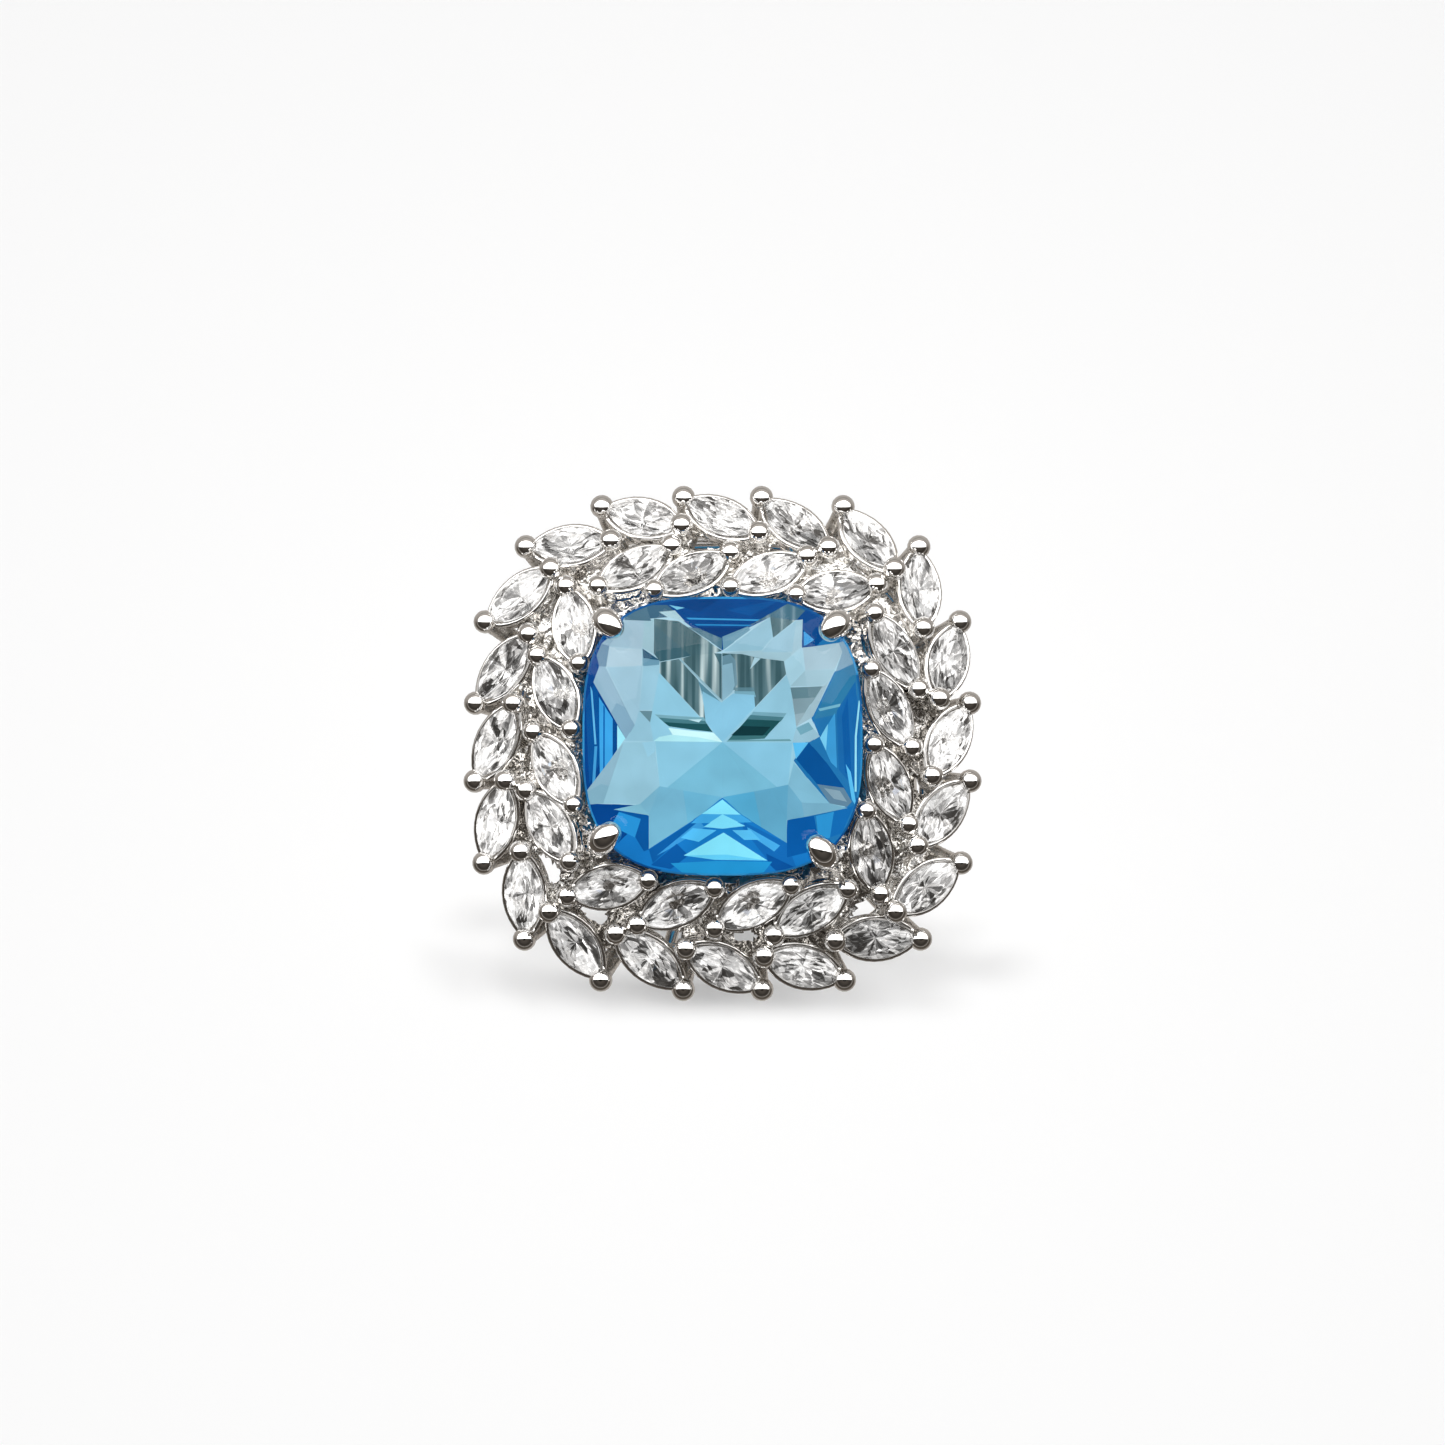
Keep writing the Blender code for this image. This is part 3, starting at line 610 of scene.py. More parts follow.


# The facets seen through the table, painted as light: (colour on the screen, which paints in the reflections,
# refraction and shade seen there; how much of it is banded with painted reflection; corners in mm from the culet). A
# later facet lies over an earlier one.
PALE, PALER, LILAC, SKY = (146, 203, 226), (168, 207, 224), (166, 196, 211), (58, 160, 226)
SLATE, DARK, DEEP, NAVY = (80, 120, 142), (62, 102, 116), (7, 73, 142), (5, 60, 124)
AZURE, CYAN, GREEN, ICE = (22, 112, 186), (130, 226, 252), (30, 80, 86), (205, 246, 248)
PAINTED_FACETS = [
    # ground: one painted colour for each side of the stone, as the light falls on that side
    (DEEP, 0, [(0, 0), (-8, 8), (8, 8)]), ((6, 68, 140), 0, [(0, 0), (-8, 8), (-8, -8)]),
    ((34, 116, 176), 0, [(0, 0), (8, 8), (8, -8)]), ((24, 120, 196), 0, [(0, 0), (-8, -8), (8, -8)]),
    # top wedge
    (NAVY, 0, [(0, 5.16), (-1.3, 5.72), (1.3, 5.72)]),
    ((5, 66, 130), 0, [(-2.6, 6.9), (.6, 7.6), (-1.2, 6.5)]), ((10, 84, 154), 0, [(.2, 6.6), (3.1, 7.2), (1.4, 6.3)]),
    ((40, 140, 205), 0, [(-1.42, 5.90), (1.5, 5.86), (1.4, 5.79), (-1.3, 5.82)]),
    ((60, 160, 220), 0, [(-1.85, 6.22), (2.05, 6.13), (1.9, 6.05), (-1.7, 6.13)]),
    ((120, 200, 230), 0, [(-2.7, 6.86), (-1.9, 6.72), (-2.3, 6.62)]),
    # left side wedge
    ((10, 84, 156), 0, [(-6.3, 3.2), (-6.9, 2.0), (-6.7, -2.2), (-6.1, -1.0)]),
    ((96, 186, 236), 0, [(-6.66, 2.75), (-6.55, 2.5), (-6.34, -.2), (-6.44, -.2)]),
    ((66, 160, 220), 0, [(-6.44, -.3), (-6.30, -.3), (-6.42, -2.5), (-6.56, -2.3)]),
    ((60, 164, 230), 0, [(-6.22, 2.2), (-5.52, 1.10), (-5.52, -1.2), (-6.16, -2.2)]),
    ((20, 100, 176), 0, [(-6.0, 1.8), (-5.92, 1.7), (-5.92, -1.9), (-6.0, -2.0)]),
    (DEEP, 0, [(-5.52, 1.10), (-5.29, .80), (-5.29, -.7), (-5.52, -1.2)]),
    ((160, 234, 250), 0, [(-5.29, .80), (-4.83, .05), (-5.29, -.8)]),
    # right side wedge
    ((46, 124, 168), 0, [(5.7, 3.45), (6.66, 3.9), (6.8, 2.3), (5.66, 1.3), (4.6, 1.1)]),
    ((24, 104, 172), 0, [(5.75, 1.5), (6.7, 3.0), (6.9, .5), (6.7, -2.5), (5.85, -1.5)]),
    ((12, 92, 164), 0, [(6.0, 1.2), (6.3, 2.2), (6.5, -2.0), (6.15, -1.6)]),
    ((61, 157, 216), 0, [(5.66, 1.41), (4.89, .15), (5.45, -1.1), (5.75, -1.4)]),
    ((120, 206, 242), 0, [(5.30, .85), (4.89, .15), (5.2, -.5)]),
    ((116, 180, 204), 0, [(4.82, 1.62), (5.95, 1.87), (5.9, 1.72), (4.9, 1.5)]),
    ((150, 224, 244), 0, [(6.86, 2.0), (6.94, 2.0), (6.76, .2), (6.74, -2.6), (6.64, -2.6), (6.66, .2)]),
    ((90, 190, 240), 0, [(6.2, -1.2), (6.45, -1.6), (6.75, -3.4), (6.5, -3.0)]),
    # bottom wedge
    ((12, 86, 158), 0, [(-3.70, -3.77), (-5.2, -3.5), (-3.95, -5.6), (-3.7, -5.5)]),
    ((40, 146, 214), 0, [(-5.2, -3.6), (-4.1, -3.95), (-4.4, -4.9), (-5.6, -4.3)]),
    ((14, 92, 164), 0, [(-3.7, -5.5), (-1.0, -3.72), (-1.3, -4.2), (-3.5, -6.2)]),
    ((58, 152, 216), 0, [(-1.15, -4.0), (-.9, -4.36), (-2.9, -5.6), (-3.3, -5.8)]),
    ((20, 104, 180), 0, [(1.1, -4.1), (3.24, -5.17), (3.7, -6.4), (2.4, -6.2), (1.0, -4.4)]),
    ((70, 170, 230), 0, [(1.25, -4.35), (2.9, -5.3), (2.6, -5.6), (1.3, -4.7)]),
    ((130, 226, 250), 0, [(0, -2.96), (-1.04, -3.70), (.92, -3.74)]),
    ((64, 166, 226), 0, [(-1.04, -3.70), (.92, -3.74), (1.5, -4.1), (-1.6, -4.15)]),
    ((124, 222, 250), 0, [(-.95, -4.34), (0, -3.72), (1.15, -4.29), (0, -4.42)]),
    ((84, 190, 244), 0, [(-1.5, -4.4), (-.3, -4.5), (-1.2, -5.1), (-2.1, -4.9)]),
    ((88, 190, 240), 0, [(.5, -4.5), (1.4, -4.5), (1.9, -5.0), (1.1, -5.0)]),
    ((12, 88, 162), 0, [(-2.3, -5.2), (-3.6, -6.3), (-2.6, -6.5), (-1.7, -5.8)]),
    ((10, 82, 156), 0, [(2.2, -5.7), (3.6, -6.4), (2.8, -6.7), (2.3, -6.2)]),
    ((132, 228, 252), 0, [(.05, -4.62), (-1.95, -5.80), (-.4, -6.02), (2.26, -6.06)]),
    ((100, 208, 248), 0, [(-1.95, -5.80), (-.4, -6.02), (2.26, -6.06), (.2, -5.75)]),
    ((36, 150, 212), 0, [(-2.6, -6.2), (-.4, -6.08), (2.5, -6.12), (2.0, -6.75), (0, -6.95), (-2.0, -6.7)]),
    # lower right corner
    ((10, 88, 162), 0, [(3.24, -3.99), (4.6, -3.8), (4.9, -5.5), (3.24, -5.9)]),
    ((44, 146, 208), 0, [(4.7, -3.8), (5.6, -3.6), (5.4, -4.9), (4.85, -5.2)]),
    ((20, 106, 178), 0, [(5.6, -3.6), (6.6, -3.3), (6.0, -4.7), (5.4, -4.9)]),
    # the clear star: a pale painted ground that shows as the facets' bright edges, a painted highlight
    ((172, 211, 227), 0, [(0, 0), (0, 4.6), (-1.9, 6.0), (-2.45, 6.5), (-3.9, 6.8), (-4.9, 6.2), (-5.7, 4.8),
                          (-6.2, 3.8), (-6.45, 2.95), (-4.85, .1)]),
    ((172, 211, 227), 0, [(0, 0), (-.02, 4.6), (1.3, 5.7), (2.4, 6.25), (3.7, 6.1), (4.0, 6.1), (4.0, 4.7), (5.85, 4.9),
                          (6.1, 5.0), (6.6, 3.9), (5.65, 3.5), (4.5, 1.15), (4.85, .25)]),
    ((162, 208, 226), 0, [(0, 0), (-4.9, .1), (-6.75, -2.6), (-6.75, -3.2), (-4.2, -3.25), (-3.7, -3.8),
                          (-3.68, -5.4), (-1.1, -3.65), (0, -2.86)]),
    ((150, 202, 222), 0, [(0, 0), (4.3, .1), (3.6, -1.0), (5.2, -3.1), (6.2, -3.35), (4.1, -3.8), (3.26, -4.0),
                          (3.22, -5.1), (.95, -3.65), (0, -2.86)]),
    # below the culet
    ((140, 200, 224), 0, [(-3.41, -.01), (0, 0), (-2.81, -2.37), (-3.18, -2.29)]),
    ((119, 185, 211), 0, [(0, 0), (-2.81, -2.37), (0, -2.84), (2.80, -2.37)]),
    ((135, 196, 222), 0, [(0, 0), (3.54, -.08), (3.32, -2.22), (2.80, -2.37)]),
    ((152, 200, 219), 0, [(-4.96, -.08), (-4.07, -.08), (-3.78, -.82), (-3.41, -.52), (-3.18, -2.29), (-4.14, -3.18), (-5.99, -3.18)]),
    ((144, 184, 203), 0, [(-4.96, -.08), (-5.99, -3.18), (-6.80, -3.26), (-6.80, -2.52)]),
    ((132, 178, 198), 0, [(-6.1, -2.2), (-5.7, -2.3), (-5.99, -3.18), (-6.80, -3.26), (-6.80, -2.6)]),
    ((154, 208, 230), 0, [(-4.07, -.08), (-3.41, -.01), (-3.41, -.52), (-3.78, -.82)]),
    ((128, 188, 210), 0, [(-5.47, -3.48), (-4.14, -3.18), (-3.63, -3.77)]),
    ((122, 182, 207), 0, [(-3.18, -2.29), (-4.14, -3.18), (-3.70, -3.77)]),
    ((116, 179, 206), 0, [(-3.18, -2.29), (0, -2.84), (-1.04, -3.70), (-3.70, -5.47), (-3.70, -3.77)]),
    ((106, 178, 209), 0, [(-2.0, -2.5), (0, -2.84), (-1.04, -3.70), (-1.75, -4.15)]),
    ((96, 166, 198), 0, [(3.32, -2.22), (0, -2.84), (.92, -3.70), (3.24, -5.17), (3.24, -3.99), (3.98, -3.85)]),
    ((84, 168, 206), 0, [(1.6, -2.55), (0, -2.84), (.92, -3.70), (1.95, -4.35)]),
    ((128, 185, 209), 0, [(3.32, -2.22), (3.61, -1.11), (5.38, -3.18), (3.98, -3.11)]),
    ((108, 170, 198), 0, [(3.32, -2.22), (3.98, -3.11), (4.10, -3.85), (3.24, -3.99)]),
    ((118, 172, 196), 0, [(3.98, -3.11), (5.38, -3.18), (6.3, -3.42), (4.10, -3.85)]),
    ((92, 190, 240), 0, [(3.56, -.08), (4.36, -.08), (3.72, -.92)]),
    ((10, 82, 150), 0, [(4.36, -.08), (5.3, -1.2), (6.2, -2.5), (4.75, -2.2), (3.72, -.92)]),
    ((96, 132, 156), 0, [(4.75, -2.2), (6.1, -2.4), (6.50, -3.11), (6.25, -3.36), (5.38, -3.18)]),
    ((134, 164, 180), 0, [(5.1, -2.4), (5.9, -2.55), (6.25, -3.1), (5.6, -2.95)]),
    # the clear star: left above the culet
    (PALE, 0, [(0, 0), (-3.21, 3.48), (-3.56, 1.57), (-3.67, .95), (-3.5, 0)]),
    ((160, 200, 219), 0, [(-5.82, 3.71), (-4.06, 3.79), (-4.21, 1.57), (-4.44, .80)]),
    ((150, 186, 207), 0, [(-6.21, 3.75), (-5.90, 3.73), (-4.44, .80), (-4.83, .05), (-6.51, 2.95)]),
    ((132, 172, 196), 0, [(-5.35, 1.9), (-4.90, 1.7), (-4.44, .80), (-4.83, .05), (-5.6, 1.4)]),
    ((156, 203, 223), 0, [(-4.02, 3.79), (-3.18, 3.87), (-3.21, 3.48), (-3.56, 1.57), (-4.21, 1.57)]),
    ((150, 198, 218), 0, [(-4.21, 1.57), (-3.67, .95), (-3.5, 0), (-4.9, 0), (-4.44, .80)]),
    ((104, 142, 154), 0, [(-4.21, 1.53), (-3.56, 1.53), (-3.67, .95)]),
    ((176, 206, 221), 0, [(-5.71, 4.75), (-4.08, 4.61), (-4.06, 3.79), (-5.86, 3.73)]),
    ((164, 196, 213), 0, [(-4.94, 6.24), (-3.94, 6.17), (-4.06, 4.63), (-5.71, 4.77)]),
    ((152, 184, 203), 0, [(-5.75, 5.2), (-5.3, 5.6), (-5.71, 4.77), (-6.1, 4.9)]),
    ((110, 146, 172), 0, [(-6.1, 4.9), (-5.71, 4.75), (-5.86, 3.73), (-6.2, 3.75), (-6.35, 4.3)]),
    ((158, 196, 209), 0, [(-3.94, 6.17), (-3.48, 6.09), (-3.48, 4.40), (-4.04, 4.72)]),
    ((112, 160, 184), 0, [(-4.03, 4.67), (-3.18, 4.10), (-3.21, 3.87), (-4.03, 3.80)]),
    ((48, 92, 122), 0, [(-4.03, 4.67), (-3.18, 4.10), (-3.98, 4.18)]),
    ((80, 118, 139), 0, [(-4.95, 6.30), (-3.87, 6.90), (-3.60, 6.05), (-4.94, 6.10)]),
    ((62, 102, 128), 0, [(-3.87, 6.86), (-2.79, 6.86), (-2.49, 6.60), (-2.79, 6.24), (-3.64, 6.17)]),
    ((58, 98, 112), .15, [(-3.46, 5.88), (-1.59, 4.33), (-3.16, 4.03), (-3.46, 4.40)]),
    (DARK, .85, [(-3.456, 6.17), (-2.21, 6.05), (-.02, 4.58), (-.39, 4.466), (-1.59, 4.33), (-3.456, 5.88)]),
    ((60, 96, 106), .25, [(-3.1, 6.12), (-2.25, 6.04), (-1.75, 5.72), (-1.85, 4.55), (-3.2, 5.66)]),
    ((82, 124, 144), .1, [(-1.75, 5.75), (-1.22, 5.68), (-.03, 5.17), (-.03, 4.66)]),
    ((170, 205, 216), 0, [(-3.21, 6.51), (-2.41, 6.59), (-1.91, 6.05), (-2.79, 6.26)]),
    (DARK, 1.0, [(-3.16, 4.00), (-2.21, 4.17), (-1.22, 3.10), (-1.06, 2.3), (-.92, 1.7), (-.80, .90), (-3.19, 3.46)]),
    (DARK, 1.0, [(-2.21, 4.17), (-1.59, 4.33), (-.39, 4.466), (-.04, 4.44), (-.04, 2.06)]),
    ((66, 104, 116), .1, [(-.42, 4.46), (-.04, 4.44), (-.04, 3.7)]),
    ((150, 190, 205), 0, [(-2.21, 4.15), (-.04, 2.02), (-.04, 2.12), (-2.12, 4.19)]),
    ((96, 146, 166), 0, [(-1.24, 3.08), (-.04, 1.98), (-.3, 1.9), (-1.02, 2.4)]),
    ((138, 198, 225), 0, [(-1.02, 2.55), (-.02, 1.98), (0, 0), (-.86, .96)]),
    ((120, 170, 184), 0, [(-3.44, 1.36), (-2.03, 1.28), (-.95, 1.24), (-.82, 1.0), (-3.1, 1.1)]),
    ((70, 122, 132), 0, [(-3.25, 1.20), (-2.0, 1.12), (-.90, 1.06), (-.74, .85), (-2.95, .95)]),
    (GREEN, 0, [(-3.0, .98), (-2.0, .92), (-.80, .90), (-.50, .50), (-1.5, .60), (-2.72, .76)]),
    (ICE, 0, [(-2.75, .68), (-1.5, .54), (-.46, .46), (0, 0), (-2.41, .14)]),
    ((176, 232, 240), 0, [(-2.6, .34), (-1.2, .22), (0, 0), (-3.5, .0), (-3.2, .22)]),
    ((190, 226, 234), 0, [(-1.75, 1.12), (-1.05, 1.14), (-1.2, .98)]),
    # the clear star: right above the culet
    ((148, 200, 221), 0, [(0, 0), (3.25, 3.36), (3.44, 2.79), (3.74, .72), (3.54, -.08)]),
    ((150, 192, 210), 0, [(3.74, .72), (4.36, .95), (4.89, .22), (4.4, -.06), (3.54, -.08)]),
    ((112, 164, 182), 0, [(3.74, .66), (4.36, .95), (4.6, .60), (3.95, .30)]),
    ((168, 210, 226), 0, [(3.13, 4.06), (4.01, 4.58), (4.17, 3.56), (3.44, 2.79)]),
    ((158, 194, 208), 0, [(3.44, 2.79), (4.17, 3.56), (5.66, 3.62), (5.38, 3.05), (5.0, 2.78)]),
    ((98, 132, 143), 0, [(3.44, 2.72), (5.05, 2.76), (4.45, 1.85), (3.6, 1.9)]),
    ((128, 156, 166), 0, [(3.55, 2.15), (4.65, 2.2), (4.1, 1.3), (3.68, 1.2)]),
    ((146, 172, 182), 0, [(3.66, 1.35), (4.2, 1.45), (3.74, .72)]),
    ((156, 186, 198), 0, [(5.38, 3.05), (5.58, 3.50), (4.51, 1.18), (3.74, .72), (5.02, 2.74)]),
    ((166, 196, 210), 0, [(4.05, 4.69), (5.85, 4.94), (6.04, 4.48), (5.66, 3.64), (4.17, 3.56)]),
    ((130, 168, 192), 0, [(5.85, 4.94), (6.16, 5.05), (6.66, 3.90), (5.70, 3.48), (6.04, 4.48)]),
    ((164, 200, 213), 0, [(.06, 4.52), (1.98, 4.60), (3.51, 4.50), (3.97, 4.75), (3.13, 4.04), (2.06, 4.20)]),
    ((164, 200, 215), 0, [(3.71, 6.07), (4.05, 6.13), (3.99, 4.73), (3.51, 4.50)]),
    ((156, 197, 215), 0, [(3.71, 6.05), (3.55, 4.85), (3.51, 4.50), (1.98, 4.52), (2.56, 5.21)]),
    ((150, 195, 214), 0, [(.06, 4.56), (2.40, 6.24), (2.56, 5.25), (1.98, 4.60)]),
    ((92, 128, 140), .7, [(2.40, 6.24), (3.71, 6.09), (2.56, 5.21)]),
    ((112, 158, 180), 0, [(-.01, 5.25), (1.29, 5.78), (1.40, 5.60), (.04, 4.62)]),
    ((74, 118, 140), .25, [(1.20, 5.74), (3.36, 6.97), (4.17, 6.57), (3.74, 6.11), (2.40, 6.26)]),
    ((40, 100, 140), 0, [(3.30, 6.93), (3.65, 7.05), (4.25, 6.75), (4.17, 6.55)]),
    ((70, 160, 205), 0, [(3.55, 7.0), (4.2, 6.95), (4.15, 6.72)]),
    ((60, 160, 225), 0, [(4.1, 5.55), (4.62, 5.10), (4.25, 4.85), (4.1, 4.8)]),
    (DARK, 1.0, [(1.93, 4.21), (3.11, 4.06), (3.23, 3.40), (1.64, 1.72), (1.60, 2.55), (.53, 2.62)]),
    (DARK, 1.0, [(-.01, 4.46), (.98, 4.42), (1.95, 4.20), (.54, 2.60), (-.02, 2.04)]),
    ((112, 154, 172), .2, [(-.01, 4.30), (.40, 4.42), (.66, 4.10), (.76, 2.90), (.56, 2.62), (-.01, 2.06)]),
    ((144, 188, 207), .05, [(.0, 3.86), (.50, 3.98), (.62, 2.86), (.50, 2.52), (.0, 2.06)]),
    ((176, 214, 228), 0, [(1.93, 4.19), (1.62, 4.26), (1.40, 3.66)]),
    ((98, 140, 154), .25, [(.56, 2.74), (1.60, 2.74), (1.63, 2.5), (.66, 2.5)]),
    ((122, 172, 190), 0, [(.60, 2.56), (1.62, 2.54), (1.70, 2.26), (.62, 2.38)]),
    ((138, 198, 225), 0, [(-.02, 2.02), (.54, 2.44), (1.60, 2.36), (1.66, 1.74), (0, 0)]),
    ((118, 168, 184), 0, [(1.55, 1.52), (3.25, 1.42), (3.1, 1.2), (1.42, 1.3)]),
    ((74, 124, 136), 0, [(1.42, 1.36), (3.12, 1.22), (2.95, 1.0), (1.2, 1.1)]),
    (GREEN, 0, [(.25, .06), (1.25, 1.14), (2.95, 1.04), (2.13, .16)]),
    ((60, 112, 118), 0, [(.25, .06), (.5, .3), (2.3, .32), (2.13, .14)]),
    ((18, 56, 62), 0, [(.45, .34), (.95, .80), (2.45, .74), (2.05, .30)]),
    ((104, 156, 166), 0, [(.2, .02), (.3, .10), (3.4, .10), (3.5, .0)]),
]
DEPTH = 3.2
LOOK = 0.105                 # how far a point slides per mm of depth in the camera's view


def rho(x, y):
    r = hypot(x, y)
    if r < 1e-9:
        return 0.0
    return r / squircle(GIRDLE_HALF, GIRDLE_POW, degrees(atan2(y, x)))


def true_plan(x, y):
    k = min(1.0, rho(x, y - DEPTH * LOOK * 0.8))
    return x, y + (0.11 - DEPTH * LOOK) * k


# Painted light: a block under the crown that carries the painted facet colours and bands.
def painted_facet_block():
    verts, edges, polys = [], [], []

    def vid(x, y):
        for i, (a, c) in enumerate(verts):
            if abs(a - x) < 0.012 and abs(c - y) < 0.012:
                return i
        verts.append((x, y))
        return len(verts) - 1

    n = 72
    ring = [((squircle(GIRDLE_HALF, GIRDLE_POW, 360 * i / n) - 0.10) * cos(2 * pi * i / n),
             (squircle(GIRDLE_HALF, GIRDLE_POW, 360 * i / n) - 0.10) * sin(2 * pi * i / n)) for i in range(n)]
    rid = [vid(*p) for p in ring]
    edges += [(rid[i], rid[(i + 1) % n]) for i in range(n)]
    for colour, banded, pts in PAINTED_FACETS:
        poly = [true_plan(x, y) for x, y in pts]
        ids = [vid(*p) for p in poly]
        edges += [(ids[i], ids[(i + 1) % len(ids)]) for i in range(len(ids)) if ids[i] != ids[(i + 1) % len(ids)]]
        polys.append(((rgb(*colour), banded), poly))
    res = geometry.delaunay_2d_cdt([Vector(v) for v in verts], edges, [], 0, 1e-4)
    pts, tris = res[0], res[2]

    def inside(p, poly):
        c, j = False, len(poly) - 1
        for i in range(len(poly)):
            (xi, yi), (xj, yj) = poly[i], poly[j]
            if (yi > p[1]) != (yj > p[1]) and p[0] < (xj - xi) * (p[1] - yi) / (yj - yi) + xi:
                c = not c
            j = i
        return c

    keep, painted_tint_of = [], []
    for t in tris:
        cx, cy = sum(pts[i].x for i in t) / 3, sum(pts[i].y for i in t) / 3
        if rho(cx, cy) > 1 - 0.10 / 7.2:
            continue
        name = None
        for tint, poly in polys:
            if inside((cx, cy), poly):
                name = tint
        if name is None:
            name = (rgb(*AZURE), 0)
        keep.append(tuple(t))
        painted_tint_of.append(name)
    used = sorted({i for t in keep for i in t})
    index = {v: k for k, v in enumerate(used)}
    top = []
    for i in used:
        x, y = pts[i].x, pts[i].y
        k = rho(x, y)
        top.append((x, y, -DEPTH * (1 - k) - 0.02))
    m = len(top)
    bottom = [(x * 0.995, y * 0.995, z - 0.22 - 0.5 * (1 - rho(x, y))) for x, y, z in top]
    faces = [tuple(index[i] for i in t) for t in keep]
    count = {}
    for f in faces:
        for i in range(3):
            count[(f[i], f[(i + 1) % 3])] = 1
    border = [e for e in count if (e[1], e[0]) not in count]
    all_faces = faces + [tuple(m + i for i in reversed(f)) for f in faces] + \
        [(b, a, a + m, b + m) for a, b in border]
    me = bpy.data.meshes.new("centre_stone_facets")
    me.from_pydata([tuple(c * MM for c in p) for p in top + bottom], [], all_faces)
    me.attributes.new("tint", "FLOAT_COLOR", "CORNER")
    me.attributes.new("band", "FLOAT", "FACE")
    cols, bands = [], []
    for k, poly in enumerate(me.polygons):
        if k < len(faces):
            c, bnd = painted_tint_of[k]
        else:
            c, bnd = rgb(*DEEP), 0
        cols += [*c, 1.0] * poly.loop_total
        bands.append(bnd)
    me.attributes["tint"].data.foreach_set("color", cols)
    me.attributes["band"].data.foreach_set("value", bands)
    me.materials.append(BLUE_PAINTED_FACETS)
    ob = bpy.data.objects.new("centre_stone_facets", me)
    bpy.context.scene.collection.objects.link(ob)
    ob.location = (0, 0, Z_GIRDLE * MM)
    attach(ob, "root")
    return ob


painted_facet_block()

# ------------------------------------------------------------------- metal
BALL_R, NECK, FOOT_R = 0.60, 0.44, 0.50


def halo(seats, rail, name, cad_node):
    half, power, z, wire_r = rail
    b = Build()
    for s in seats:
        for ballpos, sign in ((s.outer, -1), (s.inner, 1)):
            ang = degrees(atan2(ballpos.x, ballpos.y))
            foot = polar(ang, squircle(half, power, ang), z)
            axis = (s.n * 0.8 + (ballpos - foot).normalized() * 0.2).normalized()
            r = BALL_R if not (seats is inner_seats and sign > 0) else 0.55
            out = (ballpos - foot).normalized()
            prong(b, ballpos, axis, r, NECK, foot, out, FOOT_R, 0.9)
    ob = b.done(name + "_prongs", [POLISHED, STEM], 50)
    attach(ob, "root")
    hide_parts(cad_node)

    b = Build()
    for s in seats:
        # two rims of the boat-shaped setting, and the wall between them
        for depth, dl, w, r in ((-0.22, 0.10, 2.20, 0.135), (-1.12, -0.20, 1.86, 0.16)):
            pts = [s.at(x, y, depth) for x, y in marquise_outline(s.span + dl, w, 12)]
            sweep(b, pts, [r] * len(pts), 10, closed=True)
        top = marquise_outline(s.span + 0.10, 2.20, 12)
        low = marquise_outline(s.span - 0.20, 1.86, 12)
        k = len(top)
        shell = []
        for (outl, depth) in ((top, -0.22), (low, -1.12)):
            for off in (0.09, -0.09):
                for x, y in outl:
                    q = Vector((x, y)).normalized() * off
                    shell.append(s.at(x + q.x, y + q.y, depth))
        faces = []
        for i in range(k):
            j = (i + 1) % k
            faces.append((i, j, 2 * k + j, 2 * k + i))
            faces.append((k + j, k + i, 3 * k + i, 3 * k + j))
            faces.append((j, i, k + i, k + j))
            faces.append((2 * k + i, 2 * k + j, 3 * k + j, 3 * k + i))
        b.add(shell, faces)
    ob = b.done(name + "_collets", [POLISHED], 40)
    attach(ob, "root")

    b = Build()
    pts = ring_pts(rail, 144)
    sweep(b, pts, [wire_r] * len(pts), 16, closed=True)
    ob = b.done(name + "_rail", [POLISHED])
    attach(ob, "root")


halo(outer_seats, OUTER_RAIL, "outer_halo", "outer_halo_frame")
halo(inner_seats, INNER_RAIL, "inner_halo", "inner_halo_frame")


def rough(p, amount, scale):
    """Vertex moves that leave a cast skin."""
    q = Vector(p) * scale
    return Vector(p) + amount * Vector((noise.noise(q), noise.noise(q + Vector((9, 3, 1))),
                                        noise.noise(q + Vector((2, 7, 5)))))


HOLES = ((-4.5, 10.4, 0.85), (-0.8, 10.3, 0.85), (3.3, 9.9, 0.8), (-8.9, -6.5, 0.9), (-6.5, -8.7, 0.8),
         (-2.9, -10.0, 1.05), (7.2, -8.6, 0.85), (9.95, 5.1, 0.6), (8.6, 7.6, 0.6), (1.2, -9.9, 0.6),
         (-10.2, 2.0, 0.6), (10.1, -2.1, 0.6))


def bed_z(h, x, y):
    z = 0.0
    stops = ((6.5, 25.85), (7.3, 26.05), (8.0, 25.95), (9.0, 25.15), (10.0, 24.75), (11.3, 24.0))
    for (a, za), (c, zc) in zip(stops, stops[1:]):
        if h <= c:
            z = za + (zc - za) * max(0, h - a) / (c - a)
            break
    else:
        z = stops[-1][1]
    d = hypot(abs(x) - 5.9, abs(y) - 5.9)
    return z + 0.55 * math_exp(-(d / 0.85) ** 2)


def math_exp(v):
    return 2.718281828 ** v


